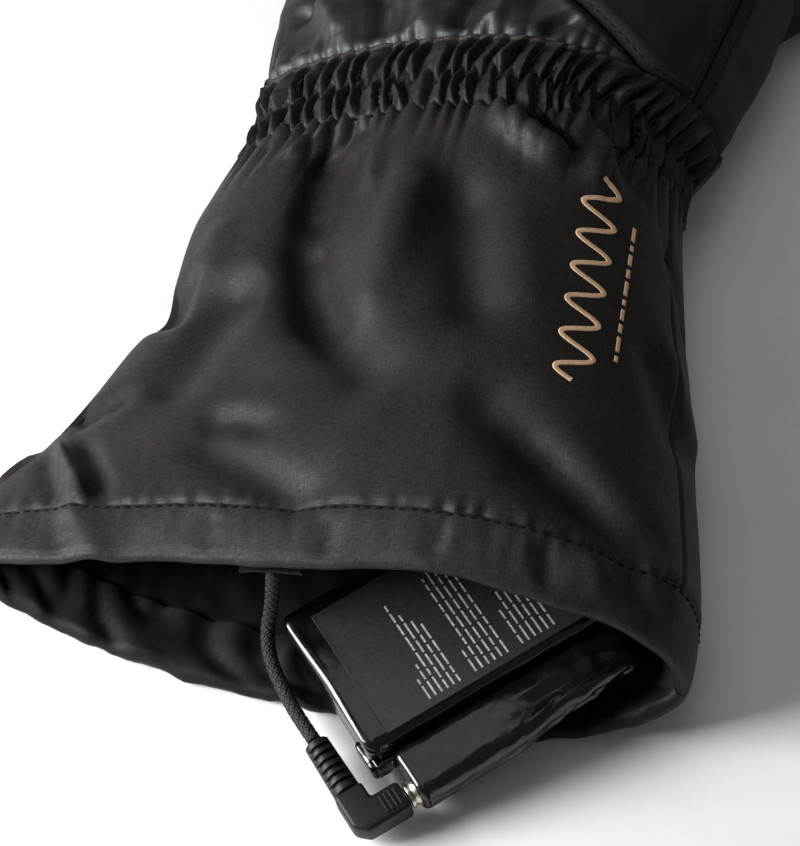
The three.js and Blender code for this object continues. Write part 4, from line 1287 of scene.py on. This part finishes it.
def make_battery():
    """The pack in its shrink tube, which sags a little between the edges and puckers at one end."""
    outline = rounded_outline(BATTERY_WIDTH, BATTERY_THICK, BATTERY_ROUND, edge=14) - (BATTERY_WIDTH, 0)
    stations = np.linspace(0, BATTERY_LENGTH, 60)

    def wrapped(points):
        x, y, z = points[..., 0], points[..., 1], points[..., 2]
        sag = 0.16 * noise(x / 9, y / 11 + z / 9, 101) + 0.06 * noise(x / 3, y / 4 + z / 4, 102)
        near_end = np.exp(-((x / 3.0) ** 2))
        sag += near_end * (0.3 * noise(y / 7, z / 9, 103) - 0.1)
        middle = np.array([0, -BATTERY_WIDTH / 2, BATTERY_THICK / 2])
        away = points * (0, 1, 1) - middle
        away /= np.linalg.norm(away, axis=-1, keepdims=True)
        return points + away * np.minimum(sag, 0.28)[..., None]

    piece = block("battery_wrap", outline, stations, WRAP, 1.8, wrapped)
    dress(piece, "shrink_wrap", "battery_pack")


def make_label():
    """The label's film on the pack, and its ruled bars in ink, broken into dashes like words."""
    width = BATTERY_WIDTH - LABEL_LEFT - LABEL_RIGHT
    end = BATTERY_LENGTH - LABEL_START
    outline = rounded_outline(width, LABEL_THICK, 0.12, arc=3, edge=10) + (
        -LABEL_LEFT - width, BATTERY_THICK + FIT_GAP,
    )
    stations = np.linspace(LABEL_START, end, 40)
    piece = block("battery_label_film", outline, stations, FILM, 0.1)
    dress(piece, "label_film", "battery_label")
    top = BATTERY_THICK + FIT_GAP + LABEL_THICK + INK_THICK
    right = -LABEL_LEFT - width + RULE_MARGIN
    points = []
    chance = np.random.default_rng(7)
    for along, length in LABEL_RULES:
        at = right
        x0 = LABEL_START + RULE_START + along
        x1 = x0 + RULE_WIDTH
        while at < right + length:
            dash = min(1.6 + 2.6 * chance.random(), right + length - at)
            points += [(x0, at, top), (x1, at, top), (x1, at + dash, top), (x0, at + dash, top)]
            at += dash + RULE_GAP
    faces = np.arange(len(points)).reshape(-1, 4)
    ink = add_mesh("label_rules", in_battery(points), faces, INK, smooth=False)
    dress(ink, "label_film")


def make_socket():
    """The socket's block, wound with glossy tape that slims and crumples towards its far end."""
    outline = rounded_outline(SOCKET_WIDTH, SOCKET_HEIGHT, 3.0, edge=8) + (SOCKET_SIDE, 0)
    stations = np.linspace(SOCKET_START, SOCKET_START + SOCKET_LENGTH, 70)
    middle = np.array([SOCKET_SIDE + SOCKET_WIDTH / 2, SOCKET_HEIGHT / 2])

    def taped(points):
        x = points[..., 0]
        share = (x - SOCKET_START) / SOCKET_LENGTH
        away = points[..., 1:] - middle
        size = np.linalg.norm(away, axis=-1, keepdims=True)
        turn = np.arctan2(away[..., 1], away[..., 0])
        slim = 1 - 0.26 * ease((share - 0.4) / 0.3)
        crumpled = 0.35 + 0.65 * ease((share - 0.3) / 0.35)
        crease = -1.1 * np.maximum(np.abs(noise(x / 8 + turn * 1.6, turn * 1.4, 111)) - 0.1, 0)
        crease = crumpled * (crease + 0.16 * noise(x / 4, turn * 2.2, 112))
        crease -= 1.1 * ease((share - 0.8) / 0.2) * (1 + noise(x / 5, turn * 1.2, 113))
        moved = points.copy()
        outer = (away[..., 0] < 0).astype(float)
        scale = mix(1.0, slim, outer)[..., None] + crease[..., None] / size
        moved[..., 1:] = middle + away * scale
        return moved

    piece = block("socket_tape", outline, stations, TAPE, 1.2, taped)
    dress(piece, "shrink_wrap", "socket_block")


def turned_body(name, profile, place, material, around=64, shape=None):
    """A closed turned body in the battery's frame. profile holds (along, radius) and place gives
    the points of (along, across, up)."""
    turn = np.linspace(0, 2 * np.pi, around, endpoint=False)
    profile = np.array(profile, float)
    along = profile[:, :1] + 0 * turn
    radius = profile[:, 1:] + 0 * turn
    if shape is not None:
        radius = shape(along, turn[None, :], radius)
    rings = np.stack([along, radius * np.cos(turn), radius * np.sin(turn)], -1)
    ends = profile[[0, -1], :1] * (1, 0, 0)
    return ringed_body(name, rings, ends, material, lambda points: in_battery(place(points)))


def make_barrel():
    """The plug's turned metal barrel, grooved near its root."""
    radius = BARREL_DIAMETER / 2
    start = PLUG_FACE + FIT_GAP
    profile = [
        (0, radius - 0.5), (0.05, radius - 0.12), (0.2, radius), (0.75, radius), (0.85, radius - 0.35),
        (1.15, radius - 0.35), (1.25, radius - 0.05), (2.6, radius - 0.05), (9.6, radius - 0.05),
        (9.9, radius - 0.3), (BARREL_LENGTH, radius - 0.8),
    ]

    def place(points):
        return points + (start, PLUG_AXIS, PLUG_LIFT)

    dress(turned_body("plug_tip", profile, place, NICKEL), "nickel_plate", "plug_barrel")


def make_relief():
    """The strain relief, slotted on two sides so that it bends with the cord."""
    radius = RELIEF_DIAMETER / 2
    along = np.linspace(0, RELIEF_LENGTH, 150)
    taper = radius * (1 - 0.10 * along / RELIEF_LENGTH)
    ends = np.minimum(along, RELIEF_LENGTH - along)
    taper -= 0.35 * np.clip(1 - ends / 0.4, 0, 1) ** 2
    pitch = (RELIEF_LENGTH - 2.2) / RELIEF_SLOTS

    def slots(run, turn, size):
        wave = np.cos(2 * np.pi * (run - 1.1 + pitch / 2) / pitch)
        cut = ease((wave - 0.05) / 0.4) * ((run > 1.0) & (run < RELIEF_LENGTH - 0.9))
        return size - 0.75 * cut * ease((np.abs(np.sin(turn)) - 0.35) / 0.2)

    near = PLUG_FACE - PLUG_ARM + PLUG_WIDTH / 2
    side = PLUG_AXIS - PLUG_WIDTH / 2 + PLUG_ELBOW

    def place(points):
        return np.column_stack([near + points[:, 1], side + points[:, 0], PLUG_LIFT + points[:, 2]])

    piece = turned_body(
        "relief_sleeve", np.column_stack([along, taper]), place, PVC, around=72, shape=slots,
    )
    return dress(piece, "moulded_pvc", "strain_relief")


def apply_modifiers(piece):
    """The same object with its modifiers worked into its mesh."""
    bpy.context.view_layer.update()
    result = bpy.data.meshes.new_from_object(piece.evaluated_get(bpy.context.evaluated_depsgraph_get()))
    piece.modifiers.clear()
    piece.data = result
    return piece


def make_plug():
    """The right-angled plug's moulded body, with every edge softened."""
    near, outer_side = PLUG_FACE - PLUG_ARM, PLUG_AXIS - PLUG_WIDTH / 2
    relief_side, chamfer = outer_side + PLUG_ELBOW, 2.4
    outline = [
        (near + chamfer, outer_side), (PLUG_FACE, outer_side), (PLUG_FACE, outer_side + PLUG_WIDTH),
        (near + PLUG_WIDTH, outer_side + PLUG_WIDTH), (near + PLUG_WIDTH, relief_side),
        (near, relief_side), (near, outer_side + chamfer),
    ]
    low, high = PLUG_LIFT - PLUG_HEIGHT / 2, PLUG_LIFT + PLUG_HEIGHT / 2
    count = len(outline)
    points = [(x, y, low) for x, y in outline] + [(x, y, high) for x, y in outline]
    mesh = bpy.data.meshes.new("plug_body")
    sides = [(i, (i + 1) % count, count + (i + 1) % count, count + i) for i in range(count)]
    mesh.from_pydata(points, [], [tuple(reversed(range(count))), tuple(range(count, 2 * count)), *sides])
    mesh.materials.append(PVC)
    made = bpy.data.objects.new("plug_body", mesh)
    bpy.context.scene.collection.objects.link(made)
    bevel = made.modifiers.new("soft edges", "BEVEL")
    bevel.width, bevel.segments, bevel.limit_method = 0.9, 4, "NONE"
    apply_modifiers(made)
    flat = np.zeros(len(made.data.vertices) * 3)
    made.data.vertices.foreach_get("co", flat)
    placed = in_battery(flat.reshape(-1, 3)) * MM
    made.data.vertices.foreach_set("co", placed.ravel())
    made.data.polygons.foreach_set("use_smooth", np.full(len(made.data.polygons), True))
    made.data.update()
    return dress(made, "moulded_pvc", "dc_plug")


def make_tab():
    """The folded tab under the hem that the cord comes out of."""
    low, high = (np.array(corner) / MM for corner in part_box("cord_tab"))
    middle, size = (low + high) / 2, high - low
    s, t = np.linspace(-1, 1, 40)[None, :], np.linspace(-0.5, 1, 22)[:, None]
    x, y = s * (size[0] / 2 - 0.4) + 0 * t, t * (size[1] / 2 - 0.3) + 0 * s
    slope = math.tan(math.radians(TAB_SLOPE))
    curl = -0.5 * np.abs(s) ** 3 + 0.15 * noise(x / 4, y / 3, 121)
    points = middle + np.stack([x, y, x * slope + curl], -1)
    # Its near-black satin is painted shade, for the shadow under the hem
    piece = panel_wall("cord_tab_fold", points, 0.6, TAB_SHADE_SATIN)
    dress(piece, "satin_polyester", "cord_tab")


def make_grip():
    """Four low bars across the plug's arm, where a thumb pushes."""
    outline = rounded_outline(GRIP_WIDTH, GRIP_THICK, 0.2, arc=4, edge=3)
    outline += (PLUG_AXIS - GRIP_WIDTH / 2, PLUG_LIFT + PLUG_HEIGHT / 2 - GRIP_SUNK)
    for number in range(GRIP_BARS):
        start = PLUG_FACE - GRIP_SETBACK - GRIP_PITCH * number
        stations = np.linspace(start - GRIP_LENGTH, start, 4)
        dress(block(f"plug_grip_{number + 1}", outline, stations, PVC, 0.18), "moulded_pvc")


def make_wrap_end():
    """The crumpled end of the shrink tube, where it was pinched off beside the socket."""
    outline = rounded_outline(9.0, 5.2, 1.6, edge=6) + (-BATTERY_WIDTH - 2.0, 0.6)
    middle = np.append(0, outline.mean(0))

    def crumpled(points):
        x, y, z = points[..., 0], points[..., 1], points[..., 2]
        away = points * (0, 1, 1) - middle * (0, 1, 1)
        away /= np.maximum(np.linalg.norm(away, axis=-1, keepdims=True), 1e-6)
        crease = 0.9 * np.abs(noise(x / 3.4 + z / 3, y / 3.2, 131)) + 0.15 * noise(x / 1.6, y / 1.6 + z, 132)
        return points - away * (np.clip(crease, 0, 1.2) + 0.35 * (x < 0.5))[..., None]

    piece = block("wrap_end", outline, np.linspace(-1.0, 5.0, 26), WRAP, 1.1, crumpled)
    dress(piece, "shrink_wrap")


make_battery()
make_label()
make_socket()
make_barrel()
RELIEF = make_relief()
PLUG = make_plug()
make_grip()
make_wrap_end()
make_tab()


# Stitches and print
STITCH_PITCH = 2.4
STITCH_LENGTH = 1.7
STITCH_RADIUS = 0.16
HEM_STITCH_RADIUS = 0.3
STITCH_LIFT = 0.02


def stitch_tree():
    """A node tree that lays copies of one plump stitch along a line of edges."""
    tree = bpy.data.node_groups.new("stitch_row", "GeometryNodeTree")
    kinds = [
        ("Line", "NodeSocketGeometry"),
        ("Pitch", "NodeSocketFloat"),
        ("Length", "NodeSocketFloat"),
        ("Radius", "NodeSocketFloat"),
        ("Thread", "NodeSocketMaterial"),
    ]
    for name, kind in kinds:
        tree.interface.new_socket(name, in_out="INPUT", socket_type=kind)
    tree.interface.new_socket("Stitches", in_out="OUTPUT", socket_type="NodeSocketGeometry")
    start, end = node(tree, "NodeGroupInput").outputs, node(tree, "NodeGroupOutput")
    curve = node(tree, "GeometryNodeMeshToCurve", {"Mesh": start["Line"]})
    places = node(
        tree, "GeometryNodeCurveToPoints", {"Curve": curve.outputs["Curve"], "Length": start["Pitch"]},
        mode="LENGTH",
    )
    ball = node(tree, "GeometryNodeMeshUVSphere", {"Segments": 8, "Rings": 6, "Radius": 1.0})
    half = node(tree, "ShaderNodeMath", {0: start["Length"], 1: 0.5}, operation="MULTIPLY")
    size = node(tree, "ShaderNodeCombineXYZ", {
        "X": start["Radius"], "Y": start["Radius"], "Z": half.outputs[0],
    })
    stitch = node(tree, "GeometryNodeTransform", {
        "Geometry": ball.outputs["Mesh"], "Scale": size.outputs["Vector"],
    })
    copies = node(tree, "GeometryNodeInstanceOnPoints", {
        "Points": places.outputs["Points"],
        "Instance": stitch.outputs["Geometry"],
        "Rotation": places.outputs["Rotation"],
    })
    plain = node(tree, "GeometryNodeRealizeInstances", {"Geometry": copies.outputs["Instances"]})
    dressed = node(tree, "GeometryNodeSetMaterial", {
        "Geometry": plain.outputs["Geometry"], "Material": start["Thread"],
    })
    tree.links.new(dressed.outputs["Geometry"], end.inputs["Stitches"])
    return tree


STITCHES = stitch_tree()


def add_stitches(name, line, slot, radius=STITCH_RADIUS):
    """A row of stitches along a line of points in mm."""
    mesh = bpy.data.meshes.new(name)
    mesh.from_pydata((np.asarray(line) * MM).tolist(), [(i, i + 1) for i in range(len(line) - 1)], [])
    piece = bpy.data.objects.new(name, mesh)
    bpy.context.scene.collection.objects.link(piece)
    modifier = piece.modifiers.new("stitches", "NODES")
    modifier.node_group = STITCHES
    values = {
        "Pitch": STITCH_PITCH * MM, "Length": STITCH_LENGTH * MM, "Radius": radius * MM,
        "Thread": THREAD,
    }
    for socket in STITCHES.interface.items_tree:
        if socket.in_out == "INPUT" and socket.name in values:
            modifier[socket.identifier] = values[socket.name]
    apply_modifiers(piece)
    dress(piece, slot)


def make_stitches():
    """Rows of stitches a little way in from the edges of the cloth, just off its face."""
    hem, knuckle, back, palm = (
        points + face_normals(points) * STITCH_LIFT for points in (HEM[:HEM_ROWS], KNUCKLE, BACK, PALM)
    )
    add_stitches("hem_stitches", hem[2, 4:328], "satin_polyester", HEM_STITCH_RADIUS)
    add_stitches("diagonal_stitches", knuckle[4, 6:224], "softshell")
    add_stitches("back_side_stitches", back[4:, -5], "sheen_polyester")
    add_stitches("knuckle_side_stitches", knuckle[4:-4, -5], "softshell")
    add_stitches("palm_side_stitches", palm[4:-4, 5], "palm_microfibre")


# The print's two lines on the plan of the cuff, and the width of their strokes
PRINT_START = (31.9, -82.0)
PRINT_END = (34.5, -140.0)
PRINT_WAVES = 6
PRINT_SWING = 3.7
PRINT_STROKE = 1.15
DASH_START = (40.2, -90.0)
DASH_END = (42.6, -134.5)
DASH_STROKE = 0.75
DASH_LENGTHS = (2.4, 4.2, 1.6, 3.2)
DASH_GAP = 1.3
FOIL_THICK = 0.16
FOIL_LIFT = 0.1


def on_cuff(places):
    """Places on the plan of the cuff, in mm, laid on its cloth, with the cloth's normals there."""
    cuff = bpy.data.objects["gauntlet_shell"]
    points, normals = [], []
    for x, y in places:
        _, point, normal, _ = cuff.ray_cast(Vector((x, y, 90.0)) * MM, Vector((0, 0, -1)))
        points.append(point / MM)
        normals.append(normal)
    return np.array(points), np.array(normals)


def print_stroke(plan, width):
    """A grid of points for one printed stroke along a line on the plan of the cuff."""
    ahead = np.gradient(plan, axis=0)
    ahead /= np.linalg.norm(ahead, axis=1, keepdims=True)
    side = np.stack([-ahead[:, 1], ahead[:, 0]], -1)
    rows = []
    for share in (-0.5, -0.25, 0, 0.25, 0.5):
        points, normals = on_cuff(plan + side * width * share)
        rows.append(points + normals * FOIL_LIFT)
    return np.stack(rows, axis=1)


def make_print():
    """A pressed foil ornament down the cuff: one plain wave, and a line of short dashes by it."""
    start, end = np.array(PRINT_START), np.array(PRINT_END)
    along = np.linspace(0, 1, 420)[:, None]
    ahead = (end - start) / np.linalg.norm(end - start)
    across = np.array([-ahead[1], ahead[0]])
    swing = PRINT_SWING * np.sin(2 * np.pi * PRINT_WAVES * along)
    path = start + (end - start) * along + across * swing
    wave = panel_wall("cuff_print_wave", print_stroke(path, PRINT_STROKE), FOIL_THICK, COPPER)
    dress(wave, "satin_polyester")
    start, end = np.array(DASH_START), np.array(DASH_END)
    length = np.linalg.norm(end - start)
    at, number = 0.0, 0
    while at < length - 3:
        number += 1
        run = DASH_LENGTHS[number % 4]
        share = (at + np.linspace(0, run, 9)[:, None]) / length
        stroke = print_stroke(start + (end - start) * share, DASH_STROKE)
        dress(panel_wall(f"cuff_print_dash_{number}", stroke, FOIL_THICK, COPPER), "satin_polyester")
        at += run + DASH_GAP


make_stitches()
make_print()


# Floor and light. Each soft light has its place, its target, its side and its power in watts.
FLOOR_HALF = 3000.0
WORLD_STRENGTH = 0.13
SOFTBOXES = {
    "key_softbox": ((-470, -340, 255), (-60, -190, 20), 300, 7.4),
    "top_softbox": ((-150, 200, 1000), (0, -100, 0), 700, 1.3),
}


def make_floor():
    material, tree, shader = start_material("floor_paper", Roughness=0.9)
    show(tree, shader, (grain(tree, 30.0, 3.0), "#f4f4f4", "#f8f8f8"))
    corners = np.array([(-1, -1, 0), (1, -1, 0), (1, 1, 0), (-1, 1, 0)]) * FLOOR_HALF
    floor = add_mesh("floor", corners, np.array([[0, 1, 2, 3]]), material, smooth=False)


def add_softbox(name, place, target, side, power):
    """A square soft light that faces its target."""
    data = bpy.data.lights.new(name, "AREA")
    data.shape, data.size, data.energy = "SQUARE", side * MM, power
    light = bpy.data.objects.new(name, data)
    light.location = Vector(place) * MM
    light.rotation_euler = (Vector(target) - Vector(place)).to_track_quat("-Z", "Y").to_euler()
    bpy.context.scene.collection.objects.link(light)


def light_scene():
    world = bpy.data.worlds.new("studio")
    world.use_nodes = True
    backdrop = world.node_tree.nodes["Background"]
    backdrop.inputs["Color"].default_value = (1, 1, 1, 1)
    backdrop.inputs["Strength"].default_value = WORLD_STRENGTH
    bpy.context.scene.world = world
    for name, values in SOFTBOXES.items():
        add_softbox(name, *values)
    bpy.context.scene.view_settings.view_transform = "Standard"


make_floor()
light_scene()
